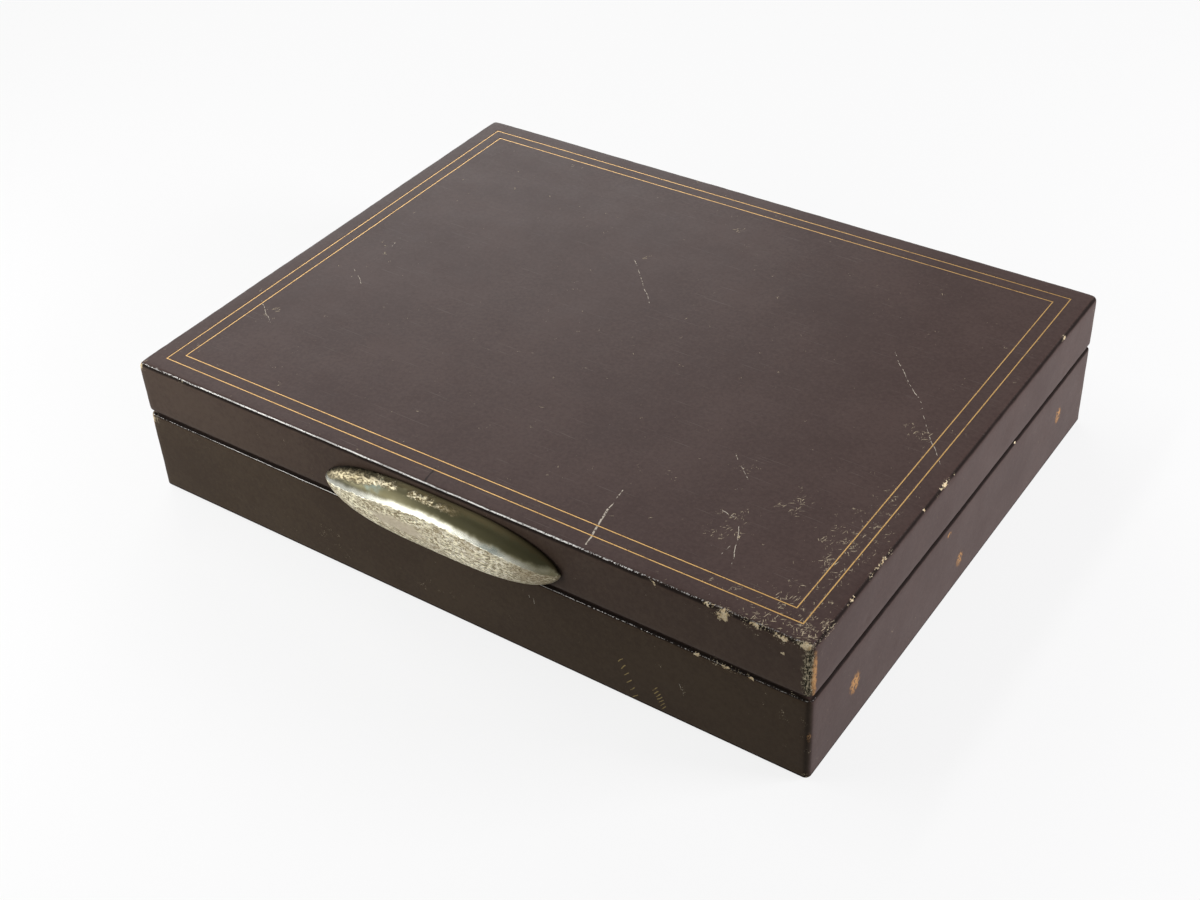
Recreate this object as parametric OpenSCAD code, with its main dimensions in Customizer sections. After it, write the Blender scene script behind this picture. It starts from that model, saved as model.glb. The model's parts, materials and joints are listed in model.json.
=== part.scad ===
// Leather-covered game box: a wooden case in two halves on a pair of butt hinges,
// with a metal thumb-piece on the lid and a fitted interior for counters, cards and dice.
// The origin is the centre of the underside, +X runs to the right, +Z up, and the front faces -Y.

/* [Case] */
// Width of the closed case, side to side
case_w = 320; // [300:1:360]
// Depth of the closed case, front face to back face
case_d = 248; // [244:1:280]
// Height of the closed case
case_h = 66; // [64:1:80]
// Height of the base, from the table to the top of its rim
base_h = 40.5; // [38:0.5:46]
// Gap between the rim of the base and the rim of the closed lid
rim_gap = 0.4; // [0.3:0.1:0.8]
// Radius of the upright corners
corner_r = 2.5; // [2.3:0.1:3.2]
// Radius of the lid's top edges
top_edge_r = 2.2; // [1.4:0.1:2.2]
// Radius of the edges of the two rims that face each other
rim_edge_r = 1.8; // [1:0.1:2.2]
// Radius of the edges round the underside
foot_edge_r = 1.2; // [0.8:0.1:1.8]

/* [Carcass] */
// Thickness of the wooden walls at the front and the sides
wall_t = 6; // [5:0.5:8]
// Thickness of the wooden rear walls, which carry the hinges
rear_wall_t = 9; // [9:0.5:11]
// Thickness of the panel that closes the lid
top_panel_t = 4; // [3:0.5:5]
// Thickness of the panel that closes the base
bottom_panel_t = 4; // [3:0.5:5]

/* [Covering] */
// Thickness of the leather
leather_t = 1.2; // [0.9:0.1:1.3]
// Width of the leather turned under the base
turn_under_w = 16; // [8:1:30]
// Thickness of the cloth under the base
foot_sheet_t = 0.8; // [0.5:0.1:1.5]
// Distance that the cloth stays back from the edges of the case
foot_sheet_inset = 4; // [3:0.5:7]

/* [Gilt lines] */
// Distance of the outer gilt line from the edges of the lid
outer_line_inset = 9; // [6:0.5:12]
// Distance of the inner gilt line from the edges of the lid
inner_line_inset = 14.6; // [13.5:0.1:25]
// Width of each gilt line
line_w = 0.6; // [0.4:0.1:1]
// Depth of the tooled groove that holds the gilding
line_groove_depth = 0.15; // [0.1:0.05:0.3]
// Thickness of the gilding
gilding_t = 0.08; // [0.05:0.01:0.1]

/* [Linings] */
// Thickness of the lining boards of the base
lining_t = 1.6; // [1.2:0.1:2.5]
// Height of the lip that the lining boards form above the base's rim
lip_h = 4; // [2:0.5:6]
// Clearance between the lip and the lid
lip_gap = 0.4; // [0.3:0.1:0.6]
// Thickness of the lining on the floor
floor_lining_t = 0.8; // [0.5:0.1:1.5]
// Thickness of the pad under the lid's panel
ceiling_pad_t = 2; // [1:0.5:3]

/* [Hinges] */
// Opening of the lid, in degrees, at which the bevelled rear edges meet
open_deg = 100; // [92:1:105]
// Extra opening cut into the bevels, in degrees, so that they meet without pressing
bevel_play_deg = 0.6; // [0.4:0.1:1]
// Distance of the hinge pins from the back face of the case
hinge_setback = 2.4; // [2.3:0.1:3]
// Distance between the middles of the two hinges
hinge_spread = 190; // [120:1:240]
// Width of a hinge leaf
leaf_w = 38; // [34:1:50]
// Reach of a hinge leaf, from the pin's axis to its front edge
leaf_reach = 6.4; // [6:0.1:6.8]
// Thickness of a hinge leaf
leaf_t = 1.2; // [1:0.1:1.4]
// Radius of the knuckles
knuckle_r = 2.2; // [2:0.1:2.3]
// Number of knuckles on a hinge
knuckle_count = 5; // [3:2:7]
// Gap between neighbouring knuckles
knuckle_gap = 0.2; // [0.1:0.05:0.4]
// Radial clearance round the knuckles
knuckle_clearance = 0.3; // [0.25:0.05:0.5]
// Radius of a hinge pin
pin_r = 1; // [0.8:0.1:1.2]
// Radial clearance of the pin in the knuckles of the lid
pin_clearance = 0.05; // [0.03:0.01:0.08]
// Radius of the heads that close the pin's ends
pin_head_r = 1.6; // [1.4:0.1:1.9]
// Thickness of the heads that close the pin's ends
pin_head_t = 0.8; // [0.5:0.1:1.2]
// Radius of a hinge screw's shank
screw_r = 0.8; // [0.6:0.1:0.9]
// Radius of a hinge screw's countersunk head
screw_head_r = 1.5; // [1.3:0.1:1.6]
// Length of a hinge screw
screw_l = 8; // [5:0.5:10]
// Distance between the hinge screws of one leaf
screw_pitch = 13; // [9:0.5:14]
// Distance of the hinge screws from the pin's axis
screw_reach = 4.2; // [4:0.1:4.4]

/* [Thumb-piece] */
// Length of the thumb-piece
thumb_w = 113; // [80:1:130]
// Height of the thumb-piece
thumb_h = 26.8; // [20:0.2:28]
// How far the thumb-piece stands out from its own back
thumb_out = 8.6; // [6:0.2:12]
// Height of the thumb-piece's middle above the seam
thumb_rise = 9.3; // [8:0.1:11]
// Space between the case and the back of the thumb-piece
thumb_standoff = 0.6; // [0.4:0.1:1]
// Power that blunts the ends of the thumb-piece
thumb_end_power = 3.2; // [2.4:0.1:4]
// Power that rounds its long edges into the ends
thumb_edge_power = 1.65; // [1.5:0.05:2]
// Distance between the two studs that fix the thumb-piece
stud_spread = 60; // [30:1:66]
// Radius of a stud
stud_r = 1.5; // [1.2:0.1:2]
// Height of the studs above the middle of the wooden wall that they go through
stud_rise = 0.5; // [-1:0.5:2]
// Radius of the collar that spaces the thumb-piece from the lid
collar_r = 4.5; // [3:0.5:5]
// Radius of a stud's nut over its corners
nut_r = 3.2; // [2.8:0.1:3.6]
// Thickness of a stud's nut
nut_t = 2.2; // [1.6:0.1:2.6]
// Clearance round and behind a nut in its pocket
nut_clearance = 0.5; // [0.3:0.1:1]

/* [Fitted interior] */
// Thickness of the dividers
divider_t = 2.4; // [2:0.1:3.5]
// Height of the dividers above the floor lining
divider_h = 28; // [24:0.5:30]
// Radius of the finger notches in the long dividers
notch_r = 11; // [8:0.5:14]
// Height of the blocks that raise the cards and plaques
riser_h = 8; // [4:0.5:10]
// Clearance between a raising block and the walls of its well
riser_play = 0.3; // [0.2:0.1:0.6]
// Height of the counter rack
rack_h = 20; // [12:0.5:20]
// Wood left under the channels of the counter rack
rack_web = 2.2; // [2:0.1:3]
// Least free length in each channel, for taking the counters out
rack_slack = 7.5; // [6:0.5:12]

/* [Counters, cards and dice] */
// Diameter of a round counter
chip_d = 36; // [32:0.5:38]
// Thickness of a round counter
chip_t = 4; // [3.5:0.1:4.2]
// Bevel on the edges of a round counter
chip_bevel = 0.5; // [0.3:0.1:0.8]
// Radial clearance of the counters in their channels
chip_play = 0.4; // [0.3:0.1:0.6]
// Gap between neighbouring counters
chip_gap = 0.05; // [0.03:0.01:0.06]
// Number of channels for counters
chip_rows = 4; // [3:1:4]
// Width of a playing card
card_w = 57; // [56:0.5:60]
// Length of a playing card
card_l = 88; // [86:0.5:90]
// Thickness of a pack of cards
pack_t = 17; // [14:0.5:18]
// Radius of a card's corners
card_corner_r = 3; // [2:0.5:5]
// Room left on each side of a card in its well
card_play = 2.5; // [2:0.1:3]
// Room left at each end of a card in its well
card_end_play = 1; // [0.5:0.1:2]
// Width of a rectangular plaque
plaque_w = 50; // [44:0.5:55]
// Length of a rectangular plaque
plaque_l = 80; // [70:0.5:84]
// Thickness of a rectangular plaque
plaque_t = 3.4; // [3:0.1:3.6]
// Radius of a plaque's corners
plaque_corner_r = 5; // [2:0.5:8]
// Gap between stacked plaques
plaque_gap = 0.05; // [0.03:0.01:0.1]
// Number of plaques in a stack
plaque_count = 6; // [3:1:6]
// Number of dice
dice_count = 5; // [1:1:6]
// Edge of a die
die_edge = 14; // [12:0.5:15]
// Least distance between the dice and from them to the walls of their well
die_play = 1.5; // [1:0.1:2]
// Radius of a die's pips
pip_r = 1.1; // [0.8:0.1:1.2]
// Depth of a die's pips
pip_depth = 0.5; // [0.3:0.1:0.7]
// Width of the score pad
pad_w = 128; // [100:1:132]
// Depth of the score pad, front to back
pad_d = 84; // [70:1:86]
// Thickness of the score pad's sheets together
pad_t = 6; // [3:0.5:8]
// Thickness of the board under the score pad
pad_board_t = 1.6; // [1:0.1:2.5]
// Distance that the board shows round the sheets
pad_board_margin = 2; // [1:0.5:3]
// Radius of the pencil
pencil_r = 3.5; // [3:0.1:4]
// Room left at the ends of the score pad or the pencil, whichever is longer, in their well
pad_play = 2.75; // [1:0.25:4]
// Length of the pencil's straight part
pencil_l = 68; // [50:1:70]
// Length of the pencil's sharpened end
pencil_point_l = 12; // [8:1:16]
// Length of the pencil's cap
pencil_cap_l = 10; // [6:1:12]

/* [Hidden] */
$fn = 64;

// How far a cutting solid runs past what it cuts
past = 1;

// Colours, from the photograph outside and plain ones inside
leather_colour = [0.24, 0.19, 0.18];
wood_colour = [0.66, 0.5, 0.33];
lining_colour = [0.45, 0.1, 0.12];
gilt_colour = [0.8, 0.62, 0.34];
silver_colour = [0.68, 0.66, 0.56];
brass_colour = [0.72, 0.56, 0.26];
steel_colour = [0.6, 0.6, 0.6];
ivory_colour = [0.9, 0.86, 0.74];
paper_colour = [0.94, 0.92, 0.86];
red_colour = [0.6, 0.08, 0.07];
green_colour = [0.05, 0.3, 0.16];
black_colour = [0.06, 0.06, 0.06];

// Levels
seam_z = base_h + rim_gap / 2;
lid_z = base_h + rim_gap;
base_wood_z = foot_sheet_t + leather_t;
base_wood_top = base_h - leather_t;
lid_wood_z = lid_z + leather_t;
panel_under_z = case_h - leather_t - top_panel_t;
lid_wood_top = case_h - leather_t;
floor_z = base_wood_z + bottom_panel_t;
well_z = floor_z + floor_lining_t;
lip_z = base_h + lip_h;
ceiling_z = panel_under_z - ceiling_pad_t;

// Plan of the wood under the leather, and of the two cavities
core_w = case_w - 2 * leather_t;
core_d = case_d - 2 * leather_t;
cavity_x = core_w / 2 - wall_t;
cavity_front = -core_d / 2 + wall_t;
cavity_back = core_d / 2 - rear_wall_t;
lid_cavity_x = cavity_x + lip_gap;
lid_cavity_front = cavity_front - lip_gap;
lid_cavity_back = cavity_back + lip_gap;

// Plan inside the linings, which the lid and the base share
inside_x = cavity_x - lining_t;
inside_front = cavity_front + lining_t;
inside_back = cavity_back - lining_t;
inside_d = inside_back - inside_front;

// Hinges
hinge_y = case_d / 2 - hinge_setback;
bevel_deg = (open_deg + bevel_play_deg) / 2;
knuckle_l = leaf_w / knuckle_count;
barrel_room_r = knuckle_r + knuckle_clearance;
barrel_room_l = leaf_w + 2 * pin_head_t + 2 * knuckle_clearance;

// Thumb-piece
thumb_z = seam_z + thumb_rise;
thumb_back_y = -case_d / 2 - thumb_standoff;
stud_z = (lid_wood_z + panel_under_z) / 2 + stud_rise;
nut_pocket_depth = nut_t + nut_clearance;
thumb_stations = 40;
thumb_steps = 16;

// Wells: two columns sized by the cards, and the middle between them
well_w = card_w + 2 * card_play;
well_d = card_l + 2 * card_end_play;
column_x = inside_x - well_w / 2;
long_divider_x = inside_x - well_w - divider_t;
middle_w = 2 * long_divider_x;
rear_well_y = inside_back - well_d / 2;
front_well_y = rear_well_y - well_d - divider_t;
column_cross_ys = [rear_well_y - well_d / 2 - divider_t, front_well_y - well_d / 2 - divider_t];
riser_top = well_z + riser_h;

// Score pad and pencil share the front middle well, which is as deep as the longer one needs
pad_board_w = pad_w + 2 * pad_board_margin;
pad_board_d = pad_d + 2 * pad_board_margin;
pencil_whole_l = pencil_l + pencil_point_l + pencil_cap_l;
pad_well_d = max(pad_board_d, pencil_whole_l) + 2 * pad_play;
pad_well_back = inside_front + pad_well_d;
pad_well_y = inside_front + pad_well_d / 2;
pad_free_w = middle_w - pad_board_w - 2 * pencil_r;
pad_x = -middle_w / 2 + pad_free_w / 4 + pad_board_w / 2;
pencil_x = middle_w / 2 - pad_free_w / 3 - pencil_r;
pencil_back = pad_well_y + pencil_whole_l / 2;

// Counter rack: it takes the rest of the depth, and its channels as many counters as that holds
chip_step = chip_t + chip_gap;
channel_r = chip_d / 2 + chip_play;
channel_pitch = middle_w / chip_rows;
channel_z = well_z + rack_web + channel_r;
rack_front = pad_well_back + divider_t;
rack_l = inside_back - rack_front;
chips_per_row = floor((rack_l - rack_slack) / chip_step);
chip_sink = chip_play - chip_gap;
row_xs = [for (i = [0:chip_rows - 1]) (i - (chip_rows - 1) / 2) * channel_pitch];

// Dice lie in rows in the front left well, each in its own square, a little out of line and turned
front_well_d = column_cross_ys[1] - inside_front;
die_pitch = die_edge + 2 * die_play;
dice_per_row = floor(well_w / die_pitch);
dice_rows = floor(front_well_d / die_pitch);
dice_step_x = well_w / dice_per_row;
dice_step_y = front_well_d / max(1, min(dice_rows, ceil(dice_count / dice_per_row)));
dice_laid = min(dice_count, dice_rows * dice_per_row);
dice_turns = [4, -3, 6, -5, 3, -6];

// The section of one outer edge: flat inside, with its own radius below and above
module edge_section(h, r, r_low, r_high) {
    translate([0, r_low])
        square([r, h - r_low - r_high]);
    square([r - r_low, r_low]);
    intersection() {
        translate([r - r_low, r_low])
            circle(r_low);
        square([r, r_low]);
    }
    translate([0, h - r_high])
        square([r - r_high, r_high]);
    intersection() {
        translate([r - r_high, h - r_high])
            circle(r_high);
        translate([0, h - r_high])
            square([r, r_high]);
    }
}

// A block on the XY plane with rounded corners, made of edges and corners round a plain middle
module rounded_block(w, d, h, r, r_low, r_high) {
    run_x = w - 2 * r;
    run_y = d - 2 * r;
    translate([-run_x / 2, -run_y / 2, 0])
        cube([run_x, run_y, h]);
    for (side = [0, 1]) {
        mirror([0, side, 0])
            translate([-run_x / 2, run_y / 2, 0])
                rotate([90, 0, 90])
                    linear_extrude(run_x)
                        edge_section(h, r, r_low, r_high);
        mirror([side, 0, 0])
            translate([run_x / 2, run_y / 2, 0])
                rotate([90, 0, 0])
                    linear_extrude(run_y)
                        edge_section(h, r, r_low, r_high);
        for (end = [0, 1])
            mirror([0, end, 0])
                mirror([side, 0, 0])
                    translate([run_x / 2, run_y / 2, 0])
                        rotate_extrude(angle = 90)
                            edge_section(h, r, r_low, r_high);
    }
}

// A block between two opposite corners
module span(low, high) {
    translate(low)
        cube(high - low);
}

// A flat plate with round corners, centred in plan
module round_plate(w, d, t, r) {
    linear_extrude(t) {
        square([w - 2 * r, d], center = true);
        square([w, d - 2 * r], center = true);
        for (x = [-1, 1], y = [-1, 1])
            translate([x * (w / 2 - r), y * (d / 2 - r)])
                circle(r);
    }
}

// The wedge cut out of the rear edges, so that the lid can turn back: its point lies over the pins
module rear_bevel(depth) {
    reach = 4 * hinge_setback;
    tip_y = hinge_y - depth / sin(bevel_deg);
    rise = reach * tan(bevel_deg);
    translate([-case_w / 2 - past, 0, seam_z])
        rotate([90, 0, 90])
            linear_extrude(case_w + 2 * past)
                polygon([[tip_y, 0], [tip_y + reach, -rise], [tip_y + reach, rise]]);
}

// Places its children at both hinges
module at_hinges() {
    for (side = [-1, 1])
        translate([side * hinge_spread / 2, hinge_y, seam_z])
            children();
}

// Turns what belongs to the base over the seam, for the lid
module over_seam() {
    translate([0, 0, seam_z])
        mirror([0, 0, 1])
            translate([0, 0, -seam_z])
                children();
}

// A cylinder along X, centred on the origin
module rod_x(r, l) {
    rotate([0, 90, 0])
        cylinder(r = r, h = l, center = true);
}

// Room for the barrels of both hinges, for the base's leaves and for their screws
module hinge_room() {
    at_hinges() {
        rod_x(barrel_room_r, barrel_room_l);
        span([-leaf_w / 2, -leaf_reach, -leaf_t - rim_gap / 2], [leaf_w / 2, 0, rim_gap]);
        screws_at()
            cylinder(r = screw_r, h = screw_l);
    }
}

// Places its children at the tips of one leaf's screws, in the leaf's own place
module screws_at() {
    for (i = [-1:1])
        translate([i * screw_pitch, -screw_reach, -rim_gap / 2 - screw_l])
            children();
}

// Base: wooden walls

module base_wall_cuts() {
    rear_bevel(leather_t);
    hinge_room();
}

module base_front_wall() {
    color(wood_colour)
        span([-core_w / 2, -core_d / 2, base_wood_z], [core_w / 2, cavity_front, base_wood_top]);
}

module base_rear_wall() {
    color(wood_colour)
        difference() {
            span([-core_w / 2, cavity_back, base_wood_z], [core_w / 2, core_d / 2, base_wood_top]);
            base_wall_cuts();
        }
}

module base_side_wall(side) {
    color(wood_colour)
        mirror([side, 0, 0])
            span([cavity_x, cavity_front, base_wood_z], [core_w / 2, cavity_back, base_wood_top]);
}

module base_left_wall() {
    base_side_wall(1);
}

module base_right_wall() {
    base_side_wall(0);
}

module base_bottom_panel() {
    color(wood_colour)
        span([-cavity_x, cavity_front, base_wood_z], [cavity_x, cavity_back, floor_z]);
}

// Base: covering

module base_leather() {
    color(leather_colour)
        difference() {
            translate([0, 0, foot_sheet_t])
                rounded_block(case_w, case_d, base_h - foot_sheet_t, corner_r, foot_edge_r, rim_edge_r);
            rear_bevel(0);
            hinge_room();
            difference() {
                span([-core_w / 2, -core_d / 2, base_wood_z], [core_w / 2, core_d / 2, base_wood_top]);
                rear_bevel(leather_t);
            }
            span([-cavity_x, cavity_front, base_wood_z], [cavity_x, cavity_back, base_h + past]);
            span(
                [-core_w / 2 + turn_under_w, -core_d / 2 + turn_under_w, foot_sheet_t - past],
                [core_w / 2 - turn_under_w, core_d / 2 - turn_under_w, base_wood_z + past]
            );
        }
}

module base_infill_card() {
    color(paper_colour)
        span(
            [-core_w / 2 + turn_under_w, -core_d / 2 + turn_under_w, foot_sheet_t],
            [core_w / 2 - turn_under_w, core_d / 2 - turn_under_w, base_wood_z]
        );
}

module base_foot_sheet() {
    color(green_colour)
        span(
            [-case_w / 2 + foot_sheet_inset, -case_d / 2 + foot_sheet_inset, 0],
            [case_w / 2 - foot_sheet_inset, case_d / 2 - foot_sheet_inset, foot_sheet_t]
        );
}

// Base: linings, which stand above the rim and locate the lid

module base_front_lining() {
    color(lining_colour)
        span([-inside_x, cavity_front, floor_z], [inside_x, inside_front, lip_z]);
}

module base_rear_lining() {
    color(lining_colour)
        span([-inside_x, inside_back, floor_z], [inside_x, cavity_back, lip_z]);
}

module base_side_lining(side) {
    color(lining_colour)
        mirror([side, 0, 0])
            span([inside_x, cavity_front, floor_z], [cavity_x, cavity_back, lip_z]);
}

module base_left_lining() {
    base_side_lining(1);
}

module base_right_lining() {
    base_side_lining(0);
}

module floor_lining() {
    color(lining_colour)
        span([-inside_x, inside_front, floor_z], [inside_x, inside_back, well_z]);
}

// Fitted interior

module long_divider(side) {
    color(lining_colour)
        mirror([side, 0, 0])
            difference() {
                span(
                    [long_divider_x, inside_front, well_z],
                    [long_divider_x + divider_t, inside_back, well_z + divider_h]
                );
                for (y = [rear_well_y, front_well_y])
                    translate([long_divider_x + divider_t / 2, y, well_z + divider_h])
                        rod_x(notch_r, divider_t + 2 * past);
            }
}

module left_long_divider() {
    long_divider(1);
}

module right_long_divider() {
    long_divider(0);
}

module cross_dividers(side) {
    color(lining_colour)
        mirror([side, 0, 0])
            for (y = column_cross_ys)
                span(
                    [long_divider_x + divider_t, y, well_z],
                    [inside_x, y + divider_t, well_z + divider_h]
                );
}

module left_cross_dividers() {
    cross_dividers(1);
}

module right_cross_dividers() {
    cross_dividers(0);
}

module centre_cross_divider() {
    color(lining_colour)
        span(
            [-long_divider_x, pad_well_back, well_z],
            [long_divider_x, rack_front, well_z + divider_h]
        );
}

module counter_rack() {
    color(lining_colour)
        difference() {
            span([-long_divider_x, rack_front, well_z], [long_divider_x, inside_back, well_z + rack_h]);
            for (x = row_xs)
                translate([x, rack_front - past, channel_z])
                    rotate([-90, 0, 0])
                        cylinder(r = channel_r, h = rack_l + 2 * past);
        }
}

module well_risers() {
    color(lining_colour)
        for (side = [-1, 1], y = [rear_well_y, front_well_y])
            translate([side * column_x, y, well_z + riser_h / 2])
                cube([well_w - 2 * riser_play, well_d - 2 * riser_play, riser_h], center = true);
}

// Counters stand on edge in their channels, from the back forward

module counter() {
    r = chip_d / 2;
    rotate([-90, 0, 0])
        rotate_extrude()
            polygon([
                [0, 0], [r - chip_bevel, 0], [r, chip_bevel],
                [r, chip_t - chip_bevel], [r - chip_bevel, chip_t], [0, chip_t]
            ]);
}

module counter_row(row) {
    if (row < chip_rows)
        for (i = [1:chips_per_row])
            translate([row_xs[row], inside_back - chip_gap - i * chip_step, channel_z - chip_sink])
                counter();
}

module red_counters() {
    color(red_colour)
        counter_row(0);
}

module ivory_counters() {
    color(ivory_colour)
        counter_row(1);
}

module green_counters() {
    color(green_colour)
        counter_row(2);
}

module black_counters() {
    color(black_colour)
        counter_row(3);
}

// Cards and plaques lie on the raised floors of the side wells

module card_pack(y, colour) {
    color(colour)
        translate([-column_x, y, riser_top])
            round_plate(card_w, card_l, pack_t, card_corner_r);
}

module rear_card_pack() {
    card_pack(rear_well_y, red_colour);
}

module front_card_pack() {
    card_pack(front_well_y, green_colour);
}

module plaque_stack(y, colour) {
    color(colour)
        for (i = [0:plaque_count - 1])
            translate([column_x, y, riser_top + i * (plaque_t + plaque_gap)])
                round_plate(plaque_w, plaque_l, plaque_t, plaque_corner_r);
}

module rear_plaques() {
    plaque_stack(rear_well_y, ivory_colour);
}

module front_plaques() {
    plaque_stack(front_well_y, red_colour);
}

// Dice

// Where the pips of a number lie on a face, in thirds of its half width
function pip_places(n) = concat(
    n % 2 == 1 ? [[0, 0]] : [],
    n > 1 ? [[-1, 1], [1, -1]] : [],
    n > 3 ? [[-1, -1], [1, 1]] : [],
    n == 6 ? [[-1, 0], [1, 0]] : []
);

// Turns that bring the top to each face, so that opposite faces add up to seven
face_turns = [[0, 0, 0], [90, 0, 0], [0, 90, 0], [0, -90, 0], [-90, 0, 0], [180, 0, 0]];
pip_ball_r = (pip_r * pip_r + pip_depth * pip_depth) / (2 * pip_depth);

module die() {
    difference() {
        intersection() {
            cube(die_edge, center = true);
            sphere(r = die_edge * 0.72);
        }
        for (n = [1:6])
            rotate(face_turns[n - 1])
                for (p = pip_places(n))
                    translate([
                        p.x * die_edge / 4,
                        p.y * die_edge / 4,
                        die_edge / 2 + pip_ball_r - pip_depth
                    ])
                        sphere(r = pip_ball_r);
    }
}

// Centre of one die's square, counted along the rows from the front left
function die_place(i) = [
    -inside_x + (i % dice_per_row + 0.5) * dice_step_x,
    inside_front + (floor(i / dice_per_row) + 0.5) * dice_step_y,
    well_z + die_edge / 2
];

module dice() {
    color(ivory_colour)
        for (i = [0:dice_laid - 1])
            translate(die_place(i))
                rotate([0, 0, dice_turns[i]])
                    rotate(-face_turns[i])
                        die();
}

// Score pad and pencil

module score_pad_board() {
    color(leather_colour)
        translate([pad_x, pad_well_y, well_z + pad_board_t / 2])
            cube([pad_board_w, pad_board_d, pad_board_t], center = true);
}

module score_pad_sheets() {
    color(paper_colour)
        translate([pad_x, pad_well_y, well_z + pad_board_t + pad_t / 2])
            cube([pad_w, pad_d, pad_t], center = true);
}

module along_pencil(start) {
    translate([pencil_x, pencil_back - start, well_z + pencil_r])
        rotate([90, 0, 0])
            children();
}

module pencil() {
    color(black_colour)
        along_pencil(pencil_cap_l) {
            cylinder(r = pencil_r, h = pencil_l);
            translate([0, 0, pencil_l])
                cylinder(r1 = pencil_r, r2 = pencil_r / 10, h = pencil_point_l);
        }
}

module pencil_cap() {
    color(brass_colour)
        along_pencil(0)
            cylinder(r = pencil_r, h = pencil_cap_l);
}

// Hinges, each drawn with its pin along X through the origin

// Places its children at every second knuckle, counting from the first one named
module at_knuckles(first) {
    for (i = [first:2:knuckle_count - 1])
        translate([(i - (knuckle_count - 1) / 2) * knuckle_l, 0, 0])
            children();
}

// The head of a hinge screw, or the sink for it, from its top down
module countersink() {
    translate([0, 0, screw_l - (screw_head_r - screw_r)])
        cylinder(r1 = screw_r, r2 = screw_head_r, h = screw_head_r - screw_r);
}

module hinge_leaf(first, bore_r) {
    color(brass_colour)
        difference() {
            union() {
                span([-leaf_w / 2, -leaf_reach, -leaf_t - rim_gap / 2], [leaf_w / 2, 0, -rim_gap / 2]);
                at_knuckles(first)
                    rod_x(knuckle_r, knuckle_l - knuckle_gap);
            }
            at_knuckles(1 - first)
                rod_x(barrel_room_r, knuckle_l + knuckle_gap);
            rod_x(bore_r, leaf_w + 2 * past);
            screws_at() {
                cylinder(r = screw_r, h = screw_l + past);
                countersink();
            }
        }
}

module hinge_pin() {
    color(brass_colour) {
        rod_x(pin_r, leaf_w);
        for (side = [-1, 1])
            translate([side * (leaf_w + pin_head_t) / 2, 0, 0])
                rod_x(pin_head_r, pin_head_t);
    }
}

// Countersunk screws with a slot across the head
module leaf_screws() {
    color(brass_colour)
        at_hinges()
            screws_at()
                difference() {
                    union() {
                        cylinder(r = screw_r, h = screw_l);
                        countersink();
                    }
                    translate([0, 0, screw_l])
                        cube([3 * screw_head_r, screw_r / 2, screw_r / 2], center = true);
                }
}

module hinge_at(side) {
    translate([side * hinge_spread / 2, hinge_y, seam_z])
        children();
}

module left_hinge_base_leaf() {
    hinge_at(-1)
        hinge_leaf(0, pin_r);
}

module right_hinge_base_leaf() {
    hinge_at(1)
        hinge_leaf(0, pin_r);
}

module left_hinge_pin() {
    hinge_at(-1)
        hinge_pin();
}

module right_hinge_pin() {
    hinge_at(1)
        hinge_pin();
}

module base_leaf_screws() {
    leaf_screws();
}

module left_hinge_lid_leaf() {
    over_seam()
        hinge_at(-1)
            hinge_leaf(1, pin_r + pin_clearance);
}

module right_hinge_lid_leaf() {
    over_seam()
        hinge_at(1)
            hinge_leaf(1, pin_r + pin_clearance);
}

module lid_leaf_screws() {
    over_seam()
        leaf_screws();
}

// Lid: wooden walls and panel

module stud_bores(extra) {
    for (side = [-1, 1])
        translate([side * stud_spread / 2, -case_d / 2 - past, stud_z])
            rotate([-90, 0, 0])
                cylinder(r = stud_r + extra, h = leather_t + wall_t + 2 * past);
}

// Places its children on the stud axes, at the mouths of the nut pockets, with Z pointing outward
module at_nut_pockets() {
    for (side = [-1, 1])
        translate([side * stud_spread / 2, lid_cavity_front, stud_z])
            rotate([90, 0, 0])
                children();
}

module lid_front_wall() {
    color(wood_colour)
        difference() {
            span([-core_w / 2, -core_d / 2, lid_wood_z], [core_w / 2, lid_cavity_front, panel_under_z]);
            stud_bores(0);
            at_nut_pockets()
                translate([0, 0, -past])
                    cylinder(r = nut_r + nut_clearance, h = nut_pocket_depth + past);
        }
}

module lid_rear_wall() {
    color(wood_colour)
        difference() {
            span([-core_w / 2, lid_cavity_back, lid_wood_z], [core_w / 2, core_d / 2, panel_under_z]);
            rear_bevel(leather_t);
            over_seam()
                hinge_room();
        }
}

module lid_side_wall(side) {
    color(wood_colour)
        mirror([side, 0, 0])
            span([lid_cavity_x, lid_cavity_front, lid_wood_z], [core_w / 2, lid_cavity_back, panel_under_z]);
}

module lid_left_wall() {
    lid_side_wall(1);
}

module lid_right_wall() {
    lid_side_wall(0);
}

module lid_top_panel() {
    color(wood_colour)
        span([-core_w / 2, -core_d / 2, panel_under_z], [core_w / 2, core_d / 2, lid_wood_top]);
}

// Lid: covering and gilding

// A rectangular frame along the edges of the lid, standing on the given level
module line_frame(inset, z, t) {
    translate([0, 0, z])
        linear_extrude(t)
            difference() {
                square([case_w - 2 * inset + line_w, case_d - 2 * inset + line_w], center = true);
                square([case_w - 2 * inset - line_w, case_d - 2 * inset - line_w], center = true);
            }
}

module lid_leather() {
    color(leather_colour)
        difference() {
            translate([0, 0, lid_z])
                rounded_block(case_w, case_d, case_h - lid_z, corner_r, rim_edge_r, top_edge_r);
            rear_bevel(0);
            over_seam()
                hinge_room();
            difference() {
                span([-core_w / 2, -core_d / 2, lid_wood_z], [core_w / 2, core_d / 2, lid_wood_top]);
                rear_bevel(leather_t);
            }
            span([-lid_cavity_x, lid_cavity_front, lid_z - past], [lid_cavity_x, lid_cavity_back, panel_under_z]);
            stud_bores(0);
            for (inset = [outer_line_inset, inner_line_inset])
                line_frame(inset, case_h - line_groove_depth, line_groove_depth + past);
        }
}

module outer_gilt_line() {
    color(gilt_colour)
        line_frame(outer_line_inset, case_h - line_groove_depth, gilding_t);
}

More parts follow.
